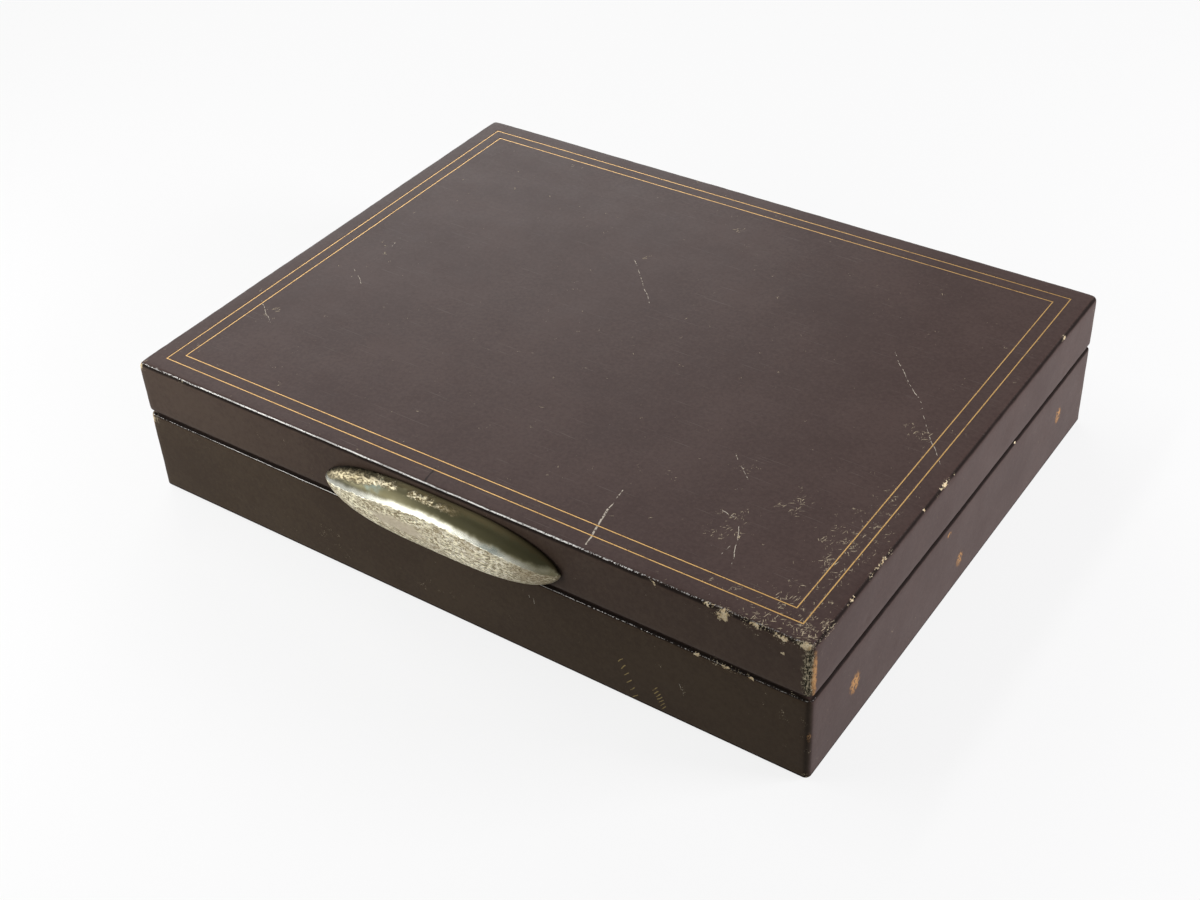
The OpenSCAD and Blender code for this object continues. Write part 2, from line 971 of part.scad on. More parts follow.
module inner_gilt_line() {
    color(gilt_colour)
        line_frame(inner_line_inset, case_h - line_groove_depth, gilding_t);
}

// Lid: linings

module lid_ceiling_pad() {
    color(lining_colour)
        span([-lid_cavity_x, lid_cavity_front, ceiling_z], [lid_cavity_x, lid_cavity_back, panel_under_z]);
}

module lid_front_lining() {
    color(lining_colour)
        span([-inside_x, lid_cavity_front, lip_z + lip_gap], [inside_x, inside_front, ceiling_z]);
}

module lid_rear_lining() {
    color(lining_colour)
        span([-inside_x, inside_back, lip_z + lip_gap], [inside_x, lid_cavity_back, ceiling_z]);
}

module lid_side_lining(side) {
    color(lining_colour)
        mirror([side, 0, 0])
            span([inside_x, lid_cavity_front, lip_z + lip_gap], [lid_cavity_x, lid_cavity_back, ceiling_z]);
}

module lid_left_lining() {
    lid_side_lining(1);
}

module lid_right_lining() {
    lid_side_lining(0);
}

// Thumb-piece: half a boat hull, long and blunt-ended, with a flat back

// How full the thumb-piece is at a share of its half length, from 1 in the middle to 0 at the tip
function thumb_fullness(share, power) = pow(1 - pow(abs(share), thumb_end_power), 1 / power);
function thumb_half_h(share) = thumb_h / 2 * thumb_fullness(share, thumb_edge_power);
function thumb_depth(share) = thumb_out * thumb_fullness(share, 2);
function thumb_point(share, a) = [
    share * thumb_w / 2,
    -thumb_depth(share) * sin(a),
    thumb_half_h(share) * cos(a)
];
thumb_shares = [for (i = [1:thumb_stations - 1]) -cos(180 * i / thumb_stations)];
thumb_rings = thumb_stations - 1;
ring_size = thumb_steps + 1;

function ring_quads(i) = [
    for (j = [0:thumb_steps - 1])
        [i * ring_size + j, i * ring_size + j + 1, (i + 1) * ring_size + j + 1, (i + 1) * ring_size + j]
];
function split(quad) = [[quad[0], quad[1], quad[2]], [quad[0], quad[2], quad[3]]];

module thumb_piece() {
    points = concat(
        [for (share = thumb_shares, j = [0:thumb_steps]) thumb_point(share, 180 * j / thumb_steps)],
        [[-thumb_w / 2, 0, 0], [thumb_w / 2, 0, 0]]
    );
    left_tip = thumb_rings * ring_size;
    right_tip = left_tip + 1;
    last = (thumb_rings - 1) * ring_size;
    front = [for (i = [0:thumb_rings - 2], quad = ring_quads(i), face = split(quad)) face];
    back = [
        for (i = [0:thumb_rings - 2], face = split([
            i * ring_size + thumb_steps, i * ring_size, (i + 1) * ring_size, (i + 1) * ring_size + thumb_steps
        ])) face
    ];
    left_end = [for (j = [0:thumb_steps - 1]) [left_tip, j + 1, j]];
    right_end = [for (j = [0:thumb_steps - 1]) [right_tip, last + j, last + j + 1]];
    tips = [[left_tip, 0, thumb_steps], [right_tip, last + thumb_steps, last]];
    color(silver_colour)
        translate([0, thumb_back_y, thumb_z])
            polyhedron(points, concat(front, back, left_end, right_end, tips));
}

module thumb_studs() {
    end_y = lid_cavity_front - nut_clearance / 2;
    color(steel_colour)
        for (side = [-1, 1])
            translate([side * stud_spread / 2, thumb_back_y, stud_z])
                rotate([-90, 0, 0]) {
                    cylinder(r = collar_r, h = thumb_standoff);
                    cylinder(r = stud_r, h = end_y - thumb_back_y);
                }
}

module thumb_nuts() {
    color(steel_colour)
        at_nut_pockets()
            translate([0, 0, nut_clearance])
                difference() {
                    cylinder(r = nut_r, h = nut_t, $fn = 6);
                    translate([0, 0, -past])
                        cylinder(r = stud_r, h = nut_t + 2 * past);
                }
}

base_front_wall();
base_rear_wall();
base_left_wall();
base_right_wall();
base_bottom_panel();
base_leather();
base_infill_card();
base_foot_sheet();
base_front_lining();
base_rear_lining();
base_left_lining();
base_right_lining();
floor_lining();
left_long_divider();
right_long_divider();
left_cross_dividers();
right_cross_dividers();
centre_cross_divider();
counter_rack();
well_risers();
left_hinge_base_leaf();
right_hinge_base_leaf();
left_hinge_pin();
right_hinge_pin();
base_leaf_screws();
red_counters();
ivory_counters();
green_counters();
black_counters();
rear_card_pack();
front_card_pack();
rear_plaques();
front_plaques();
dice();
score_pad_board();
score_pad_sheets();
pencil();
pencil_cap();
lid_front_wall();
lid_rear_wall();
lid_left_wall();
lid_right_wall();
lid_top_panel();
lid_leather();
lid_ceiling_pad();
lid_front_lining();
lid_rear_lining();
lid_left_lining();
lid_right_lining();
outer_gilt_line();
inner_gilt_line();
thumb_piece();
thumb_studs();
thumb_nuts();
left_hinge_lid_leaf();
right_hinge_lid_leaf();
lid_leaf_screws();
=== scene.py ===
# Looks of a leather-covered game box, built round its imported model. Lengths are in metres, but the places and
# sizes inside materials are in millimetres.
import json
import math
from functools import cached_property

import bmesh
import bpy
import numpy as np
from mathutils import Euler, Matrix, Vector


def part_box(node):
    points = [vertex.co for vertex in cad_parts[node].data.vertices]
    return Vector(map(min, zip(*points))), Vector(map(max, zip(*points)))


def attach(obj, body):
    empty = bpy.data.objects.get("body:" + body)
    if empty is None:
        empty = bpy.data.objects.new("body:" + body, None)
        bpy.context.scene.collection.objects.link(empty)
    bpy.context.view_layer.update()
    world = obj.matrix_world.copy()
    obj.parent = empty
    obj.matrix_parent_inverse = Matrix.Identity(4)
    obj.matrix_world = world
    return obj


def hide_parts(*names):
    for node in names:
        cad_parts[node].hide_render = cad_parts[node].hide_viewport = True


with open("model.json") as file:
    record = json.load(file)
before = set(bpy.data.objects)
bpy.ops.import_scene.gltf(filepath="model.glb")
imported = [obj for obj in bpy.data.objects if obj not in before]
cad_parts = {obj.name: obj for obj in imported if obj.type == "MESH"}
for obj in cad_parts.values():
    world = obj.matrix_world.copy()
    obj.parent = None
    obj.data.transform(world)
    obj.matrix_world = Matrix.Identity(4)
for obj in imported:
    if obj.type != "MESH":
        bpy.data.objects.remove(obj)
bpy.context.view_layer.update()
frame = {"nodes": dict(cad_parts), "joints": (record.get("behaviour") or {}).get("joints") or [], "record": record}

MM = 0.001
TAU = 2 * math.pi

# Sizes taken from the imported model, and each node's body
lid_low, lid_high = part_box("lid_leather")
base_low, base_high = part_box("base_leather")
half_w, half_d = lid_high.x, lid_high.y
_, hinge_y, seam_z = frame["joints"][0]["pos_m"]
leather_t = lid_high.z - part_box("lid_top_panel")[1].z
wood_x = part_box("lid_top_panel")[1].x
BODIES = {node: body for body, nodes in frame["record"]["behaviour"]["bodies"].items() for node in nodes}

# Edges and tooling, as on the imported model
CORNER_R = 2.5 * MM
TOP_EDGE_R = 2.2 * MM
RIM_EDGE_R = 1.8 * MM
FOOT_EDGE_R = 1.2 * MM
TURN_UNDER_W = 16 * MM
LINE_INSETS = (9 * MM, 14.6 * MM)
LINE_W = 0.6 * MM
LINE_DEPTH = 0.15 * MM
GILDING_T = 0.08 * MM
GILDING_W = 0.44 * MM
BEVEL_ANGLE = math.radians(50.3)
BARREL_ROOM_R = 2.5 * MM
BARREL_PLAY = 0.6 * MM
LEAF_T = 1.2 * MM
LEAF_PLAY = 0.4 * MM

# Form of the thumb-piece: how full its ends and edges are, and the crest along it
END_POWER = 3.2
EDGE_POWER = 1.65
CREST_POWER = 1.7
CREST_RISE = 6.4 * MM

# Fineness of the meshes
SKIN_STEP = 1.6 * MM
CORNER_STEPS = 7
EDGE_STEPS = 7
LID_ROWS = 16
BASE_ROWS = 24
TURNED_STEPS = 48
PENCIL_STEPS = 40
PIP_STEPS = 20


# Meshes

def add_object(name, data):
    """Puts a mesh, lamp or camera in the scene."""
    thing = bpy.data.objects.new(name, data)
    bpy.context.scene.collection.objects.link(thing)
    return thing


def make_piece(name, points, faces, material, node, smooth=True, sharp=None, replaces=True):
    """A mesh of its own that rides with a node and stands for it."""
    mesh = bpy.data.meshes.new(name)
    mesh.from_pydata(np.asarray(points).tolist(), [], faces)
    mesh.validate()
    return adopt(mesh, name, material, node, smooth, sharp, replaces)


def adopt(mesh, name, material, node, smooth=True, sharp=None, replaces=True):
    """Puts a finished mesh in the scene, on the body of its node."""
    mesh.polygons.foreach_set("use_smooth", [smooth] * len(mesh.polygons))
    mesh.update()
    mesh.materials.append(material)
    piece = add_object(name, mesh)
    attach(piece, BODIES[node])
    if replaces:
        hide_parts(node)
    if sharp:
        keep_sharp(piece, sharp)
    return piece


def keep_sharp(piece, degrees):
    """Shades a piece smooth, with edges over the angle left sharp."""
    with bpy.context.temp_override(object=piece, selected_objects=[piece], active_object=piece,
                                   selected_editable_objects=[piece]):
        bpy.ops.object.shade_smooth_by_angle(angle=math.radians(degrees))


def band(upper, lower):
    """Faces between two closed rings of the same count; a corner that comes twice is left out."""
    turned = [*range(1, len(upper)), 0]
    return [list(dict.fromkeys((upper[i], lower[i], lower[j], upper[j]))) for i, j in enumerate(turned)]


def grid_faces(rows, columns, start=0):
    """Faces of a grid of points, row after row."""
    corners = [start + j * columns + i for j in range(rows - 1) for i in range(columns - 1)]
    return [[a, a + 1, a + columns + 1, a + columns] for a in corners]


def waves(points, length, seed, count=9):
    """Smooth random heights from -1 to 1 at the points, with swells of about one length."""
    rng = np.random.default_rng(seed)
    total = np.zeros(len(points))
    for _ in range(count):
        direction = rng.normal(size=3)
        direction *= rng.uniform(0.6, 1.4) / np.linalg.norm(direction) * TAU / length
        total += np.sin(points @ direction + rng.uniform(0, TAU))
    return np.clip(total / math.sqrt(count) / 1.6, -1, 1)


def smooth_step(value, start, end):
    """0 before start and 1 after end, with a smooth rise between them."""
    share = np.clip((value - start) / (end - start), 0, 1)
    return share * share * (3 - 2 * share)


def solids_of(node):
    """Lowest and highest corner of each separate solid of a node."""
    work = bmesh.new()
    work.from_mesh(frame["nodes"][node].data)
    bmesh.ops.remove_doubles(work, verts=work.verts, dist=1e-6)
    found, seen = [], set()
    for start in work.verts:
        if start in seen:
            continue
        stack, corners = [start], []
        seen.add(start)
        while stack:
            vert = stack.pop()
            corners.append(tuple(vert.co))
            fresh = {edge.other_vert(vert) for edge in vert.link_edges} - seen
            seen |= fresh
            stack += fresh
        found.append((np.min(corners, 0), np.max(corners, 0)))
    work.free()
    return sorted(found, key=lambda box: tuple(np.round(box[0], 6)))


# Leather skins

# Dents and rubbed corners: centre, radius and depth in millimetres
DENTS = [
    ((160, -124, 66), 3.6, 0.34), ((160, -124, 52), 8, 0.18), ((160, -124, 41), 3, 0.3),
    ((-160, -124, 66), 3, 0.3), ((160, 124, 66), 3, 0.3), ((-160, 124, 66), 3, 0.25),
    ((124.5, -124, 66), 3.4, 0.3), ((96, -124, 66), 2.6, 0.25), ((147, -124, 66), 4, 0.24),
    ((-160, -124, 40), 3.5, 0.3), ((160, -124, 2), 4, 0.3), ((160, -124, 22), 2.5, 0.2),
    ((160, -20, 66), 3.4, 0.28), ((160, -72, 66), 4, 0.25), ((160, -84, 47.5), 1.6, 0.2),
    ((160, 91, 46.5), 1.6, 0.2),
]


def wear_depth(points):
    """How far the leather lies under its new surface: slow swells, fine unevenness and rubbed edges."""
    level = np.minimum(abs(points[:, 2] - lid_high.z), abs(points[:, 2] - base_high.z))
    to_faces = np.stack([half_w - abs(points[:, 0]), half_d - abs(points[:, 1]), level], 1)
    squares = np.sort(to_faces ** 2, axis=1)
    edge = 1 - smooth_step(np.sqrt(squares[:, 0] + squares[:, 1]), 0.5 * MM, 4 * MM)
    depth = np.zeros(len(points))
    swells = ((0.05, 70, 1, 1), (0.018, 17, 2, 1), (0.05, 9, 3, edge), (0.03, 3, 4, edge))
    for most, length, seed, where in swells:
        depth += where * most * MM * (1 + waves(points, length * MM, seed))
    for centre, radius, sunk in DENTS:
        away = np.linalg.norm(points - np.array(centre) * MM, axis=1) / (radius * MM)
        depth += sunk * MM * np.exp(-away ** 2)
    return depth


def side_stations(half, exact):
    """Places along one straight side, with some put in exactly."""
    even = np.linspace(-half, half, 2 * round(half / SKIN_STEP) + 1)
    kept = [v for v in even if all(abs(v - e) > 0.35 * MM for e in exact)]
    return np.array(sorted([*kept, *exact]))


class Skin:
    """Rings of points round a box with rounded corners, joined into one closed surface."""

    def __init__(self, grooves=()):
        """Grooves are insets at which the surface has its own rows of points."""
        self.xs, self.ys = (
            side_stations(half - CORNER_R, [side * (half - groove) for groove in grooves for side in (-1, 1)])
            for half in (half_w, half_d)
        )
        self.points, self.normals, self.faces, self.last = [], [], [], None
        self.count = 0

    def ring(self, inset, z, lean=(1, 0)):
        """Adds one ring at an inset from all sides, or from the sides, the front and the back.

        The lean is the outward and upward part of its normal.
        """
        in_x, in_front, in_back = np.broadcast_to(inset, 3)
        radius = max(CORNER_R - in_x, 0.12 * MM)
        right = half_w - in_x - radius
        front = -half_d + in_front + radius
        back = half_d - in_back - radius
        across = self.xs / self.xs[-1] * right
        along = front + (self.ys - self.ys[0]) / (self.ys[-1] - self.ys[0]) * (back - front)
        turn = np.linspace(0, math.pi / 2, CORNER_STEPS + 1)[1:-1]
        sine, cosine = np.sin(turn), np.cos(turn)
        one_x, one_y = np.ones_like(across), np.ones_like(along)
        sides = [
            (across, (front - radius) * one_x, 0 * one_x, -one_x),
            (right + radius * sine, front - radius * cosine, sine, -cosine),
            ((right + radius) * one_y, along, one_y, 0 * one_y),
            (right + radius * cosine, back + radius * sine, cosine, sine),
            (across[::-1], (back + radius) * one_x, 0 * one_x, one_x),
            (-right - radius * sine, back + radius * cosine, -sine, cosine),
            ((-right - radius) * one_y, along[::-1], -one_y, 0 * one_y),
            (-right - radius * cosine, front - radius * sine, -cosine, -sine),
        ]
        x, y, nx, ny = (np.concatenate([side[k] for side in sides]) for k in range(4))
        self.points.append(np.stack([x, y, np.full_like(x, z)], 1))
        self.normals.append(np.stack([nx * lean[0], ny * lean[0], np.full_like(x, lean[1])], 1))
        here = list(range(self.count, self.count + len(x)))
        self.count += len(x)
        if self.last:
            self.faces += band(self.last, here)
        self.last = here
        return here

    def side(self, low, high, low_r, high_r, rows):
        """Adds the rings of the outer side, from its rounded upper edge down to its lower one."""
        first = None
        for inset, rise, lean in edge_turn(high_r, 90, 0):
            here = self.ring(inset, high - high_r + rise, lean)
            first = first or here
        for z in np.linspace(high - high_r, low + low_r, rows)[1:-1]:
            self.ring(0, z)
        for inset, rise, lean in edge_turn(low_r, 0, -90):
            self.ring(inset, low + low_r + rise, lean)
        return first

    def grid_cap(self, z):
        """A fine grid inside the next ring, whose border works as a ring itself."""
        x, y = np.meshgrid(self.xs, self.ys)
        self.points.append(np.stack([x.ravel(), y.ravel(), np.full(x.size, z)], 1))
        self.normals.append(np.tile([0.0, 0.0, 1.0], (x.size, 1)))
        self.faces += grid_faces(*x.shape, self.count)
        index = np.arange(x.size).reshape(x.shape) + self.count
        self.count += x.size
        corner = CORNER_STEPS - 1
        border = [
            *index[0], *[index[0, -1]] * corner, *index[:, -1], *[index[-1, -1]] * corner,
            *index[-1, ::-1], *[index[-1, 0]] * corner, *index[::-1, 0], *[index[0, 0]] * corner,
        ]
        self.last = [int(v) for v in border]

    def arrays(self, outer):
        """All points and normals, and how deep wear sinks the outer ones."""
        points, depth = np.concatenate(self.points), np.zeros(self.count)
        depth[:outer] = wear_depth(points)[:outer]
        return points, np.concatenate(self.normals), depth


def edge_turn(radius, low_deg, high_deg):
    """Insets, rises and leans along a rounded edge."""
    for angle in np.radians(np.linspace(low_deg, high_deg, EDGE_STEPS)):
        yield radius * (1 - math.cos(angle)), radius * math.sin(angle), (math.cos(angle), math.sin(angle))


def cavity_insets(node):
    """How far a node that fills the wooden box lies inside the sides, the front and the back."""
    low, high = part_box(node)
    return np.array((half_w - high.x, half_d + low.y, half_d - high.y))


def cut_hinge_rooms(piece):
    """Takes the room of the hinges' barrels and leaves out of a skin."""
    barrels, leaves = bmesh.new(), bmesh.new()
    for side in ("left", "right"):
        low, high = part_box(side + "_hinge_pin")
        turned = Matrix.Translation((low + high) / 2) @ Matrix.Rotation(math.pi / 2, 4, "Y")
        bmesh.ops.create_cone(barrels, cap_ends=True, segments=TURNED_STEPS, radius1=BARREL_ROOM_R,
                              radius2=BARREL_ROOM_R, depth=high.x - low.x + BARREL_PLAY, matrix=turned)
        low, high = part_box(side + "_hinge_base_leaf")
        size = (high.x - low.x, hinge_y - low.y, 2 * LEAF_T + LEAF_PLAY, 1)
        middle = ((high.x + low.x) / 2, (hinge_y + low.y) / 2, seam_z)
        bmesh.ops.create_cube(leaves, size=1, matrix=Matrix.Translation(middle) @ Matrix.Diagonal(size))
    for work in (barrels, leaves):
        mesh = bpy.data.meshes.new("hinge_room")
        work.to_mesh(mesh)
        work.free()
        cut = piece.modifiers.new("cut", "BOOLEAN")
        cut.operation = "DIFFERENCE"
        cut.solver = "EXACT"
        cut.object = add_object("hinge_room", mesh)
    shown = bpy.context.evaluated_depsgraph_get()
    shown.update()
    made = bpy.data.meshes.new_from_object(piece.evaluated_get(shown))
    for cutter in [cut.object for cut in piece.modifiers]:
        bpy.data.objects.remove(cutter)
    piece.modifiers.clear()
    piece.data = made


def clamp_bevel(points, outer, side):
    """Cuts the rear edge back to the bevel: side is 1 for the lid, above the seam, and -1 for the base."""
    rim_z = lid_low.z if side > 0 else base_high.z
    inner = (np.arange(len(points)) >= outer) & (abs(points[:, 2] - rim_z) > 0.5 * MM)
    inner &= (abs(points[:, 0]) < wood_x + 1e-6) & (points[:, 1] < half_d - leather_t + 1e-6)
    tips = np.where(inner, hinge_y - leather_t / math.sin(BEVEL_ANGLE), hinge_y)
    limit = side * seam_z + (points[:, 1] - tips) * math.tan(BEVEL_ANGLE)
    past = points[:, 1] > tips
    points[past, 2] = side * np.maximum(side * points[past, 2], limit[past])


def skin_piece(name, skin, points, outer, side, material, node):
    """A skin's points as a piece, cut to the bevel and round the hinges."""
    clamp_bevel(points, outer, side)
    piece = make_piece(name, points, skin.faces, material, node)
    cut_hinge_rooms(piece)
    keep_sharp(piece, 40)


def lid_skin(material):
    """The lid's leather: a tooled top, rounded edges, and the turn-in over the rim."""
    skin = Skin([inset + side * width for inset in LINE_INSETS for side in (-1, 1)
                 for width in (LINE_W / 2, LINE_W / 2 + 0.15 * MM)])
    top, low = lid_high.z, lid_low.z
    skin.grid_cap(top)
    skin.side(low, top, RIM_EDGE_R, TOP_EDGE_R, LID_ROWS)
    outer = skin.count
    cavity = cavity_insets("lid_ceiling_pad")
    for share in (0.35, 0.7, 1):
        skin.ring(RIM_EDGE_R + share * (cavity - RIM_EDGE_R), low, (0, -1))
    skin.ring(cavity, low + leather_t, (-1, 0))
    skin.ring(leather_t, low + leather_t)
    skin.faces.append(skin.ring(leather_t, top - leather_t))
    points, normals, depth = skin.arrays(outer)
    to_side = np.minimum(half_w - abs(points[:, 0]), half_d - abs(points[:, 1]))
    for inset in LINE_INSETS:
        groove = 1 - smooth_step(abs(to_side - inset), LINE_W / 2, LINE_W / 2 + 0.12 * MM)
        depth += LINE_DEPTH * groove * (normals[:, 2] > 0.99)
    skin_piece("lid_skin", skin, points - normals * depth[:, None], outer, 1, material, "lid_leather")


def base_skin(material):
    """The base's leather: sides, the turn-in over the rim, and the turn-under below."""
    skin = Skin()
    top, low = base_high.z, base_low.z
    first = skin.side(low, top, FOOT_EDGE_R, RIM_EDGE_R, BASE_ROWS)
    outer = skin.count
    under = leather_t + TURN_UNDER_W
    for inset in (0.4 * under, 0.7 * under, under):
        skin.ring(inset, low, (0, -1))
    skin.ring(under, low + leather_t)
    skin.ring(leather_t, low + leather_t)
    skin.ring(leather_t, top - leather_t)
    cavity = cavity_insets("base_bottom_panel")
    skin.ring(cavity, top - leather_t)
    for share in (1, 0.7, 0.35):
        skin.ring(RIM_EDGE_R + share * (cavity - RIM_EDGE_R), top, (0, 1))
    skin.faces += band(skin.last, first)
    points, normals, depth = skin.arrays(outer)
    depth *= smooth_step(points[:, 2], low + 0.2 * MM, low + 4 * MM)
    skin_piece("base_skin", skin, points - normals * depth[:, None], outer, -1, material, "base_leather")


def gilt_line(name, inset, node, material):
    """A thin strip of gilding that lies in its groove and follows the leather."""
    right, back = half_w - inset, half_d - inset
    corners = np.array([(-right, -back), (right, -back), (right, back), (-right, back)])
    centre, outward = [], []
    for start, end in zip(corners, np.roll(corners, -1, 0)):
        run = end - start
        length = math.hypot(*run)
        steps = round(length / SKIN_STEP)
        centre += [(*(start + i / steps * run), lid_high.z) for i in range(steps)]
        outward += [np.sign(start)] + [np.array((run[1], -run[0])) / length] * (steps - 1)
    centre, outward = np.array(centre), np.array(outward)
    sunk = centre[:, 2] - wear_depth(centre) - LINE_DEPTH
    points = []
    for offset, rise in ((-0.5, 0), (0.5, 0), (0.5, GILDING_T), (-0.5, GILDING_T)):
        points.append(np.column_stack([centre[:, :2] + outward * offset * GILDING_W, sunk + rise]))
    rings = [range(k * len(centre), (k + 1) * len(centre)) for k in range(4)]
    faces = [face for a, b in ((1, 0), (2, 1), (3, 2), (0, 3)) for face in band(rings[a], rings[b])]
    make_piece(name, np.concatenate(points), faces, material, node, smooth=False)


def thumb_plate(material):
    """Half a boat hull with a soft crest: smooth above it, rough and pitted below."""
    low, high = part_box("thumb_piece")
    half_l, half_h, out = (high.x - low.x) / 2, (high.z - low.z) / 2, high.y - low.y
    columns, rows = 260, 84
    share = -np.cos(np.linspace(0, math.pi, columns + 2)[1:-1])[:, None]
    angle = np.linspace(0, math.pi, rows)
    full = 1 - abs(share) ** END_POWER
    height, depth = half_h * full ** (1 / EDGE_POWER), out * full ** 0.5
    crest_angle = np.arccos(np.minimum(0.95, CREST_RISE * (1 - abs(share) ** CREST_POWER) / height))
    ridge = 0.12 * MM * np.exp(-((angle - crest_angle) / 0.09) ** 2) * (1 - abs(share) ** 6)
    under = smooth_step(angle, crest_angle, crest_angle + 0.14)
    reach = depth * np.sin(angle) * (1 - 0.035 * under * np.sin(angle)) + ridge
    place = (share * half_l + 0 * angle, high.y - reach, (low.z + high.z) / 2 + height * np.cos(angle))
    points = np.stack(place, 2).reshape(-1, 3)
    pits = 0.05 * (1 + waves(points, 2.6 * MM, 11)) + 0.05 * (1 + waves(points, 1.2 * MM, 12, 14))
    swell = 0.05 * (1 + waves(points, 34 * MM, 13))
    sunk = MM * (pits * under.ravel() + swell) * np.minimum(1, 3 * np.tile(np.sin(angle), columns))
    points[:, 1] = np.minimum(points[:, 1] + sunk, high.y)
    faces = grid_faces(columns, rows)
    for a in range(0, (columns - 1) * rows, rows):
        faces.append([a, a + rows, a + 2 * rows - 1, a + rows - 1])
    faces.append(list(range(rows))[::-1])
    faces.append(list(range((columns - 1) * rows, columns * rows)))
    make_piece("thumb_plate", points, faces, material, "thumb_piece", sharp=50)


# Materials

def box_mm(node):
    """Lowest and highest corner of a node, in millimetres."""
    low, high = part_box(node)
    return low / MM, high / MM


class Value:
    """A number or colour that the nodes of a material work out, and that more nodes are built on."""

    def __init__(self, paint, socket):
        self.paint, self.socket = paint, socket

    def __add__(self, other):
        return self.paint.calc("ADD", self, other)

    def __sub__(self, other):
        return self.paint.calc("SUBTRACT", self, other)

    def __rsub__(self, other):
        return self.paint.calc("SUBTRACT", other, self)

    def __mul__(self, other):
        return self.paint.calc("MULTIPLY", self, other)

    def __pow__(self, power):
        return self.paint.calc("POWER", self, power)

    def __abs__(self):
        return self.paint.calc("ABSOLUTE", self)

    def wave(self, period, form="SINE"):
        return self.paint.calc(form, self * (TAU / period))

    def step(self, start, end):
        """0 at start, 1 at end, smooth between them."""
        inputs = {"Value": self, "From Min": start, "From Max": end}
        return self.paint.node("ShaderNodeMapRange", inputs, interpolation_type="SMOOTHSTEP")

    def span(self, low, high):
        """A 0 to 1 value spread evenly from low to high."""
        return self.paint.node("ShaderNodeMapRange", {"Value": self, "To Min": low, "To Max": high})

    def mix(self, a, b):
        """The colour a where the value is 0, and b where it is 1."""
        return self.paint.node("ShaderNodeMix", {0: self, 6: a, 7: b}, 2, data_type="RGBA")

    def between(self, a, b):
        """The number a where the value is 0, and b where it is 1."""
        return self.paint.node("ShaderNodeMix", {0: self, 2: a, 3: b}, data_type="FLOAT")


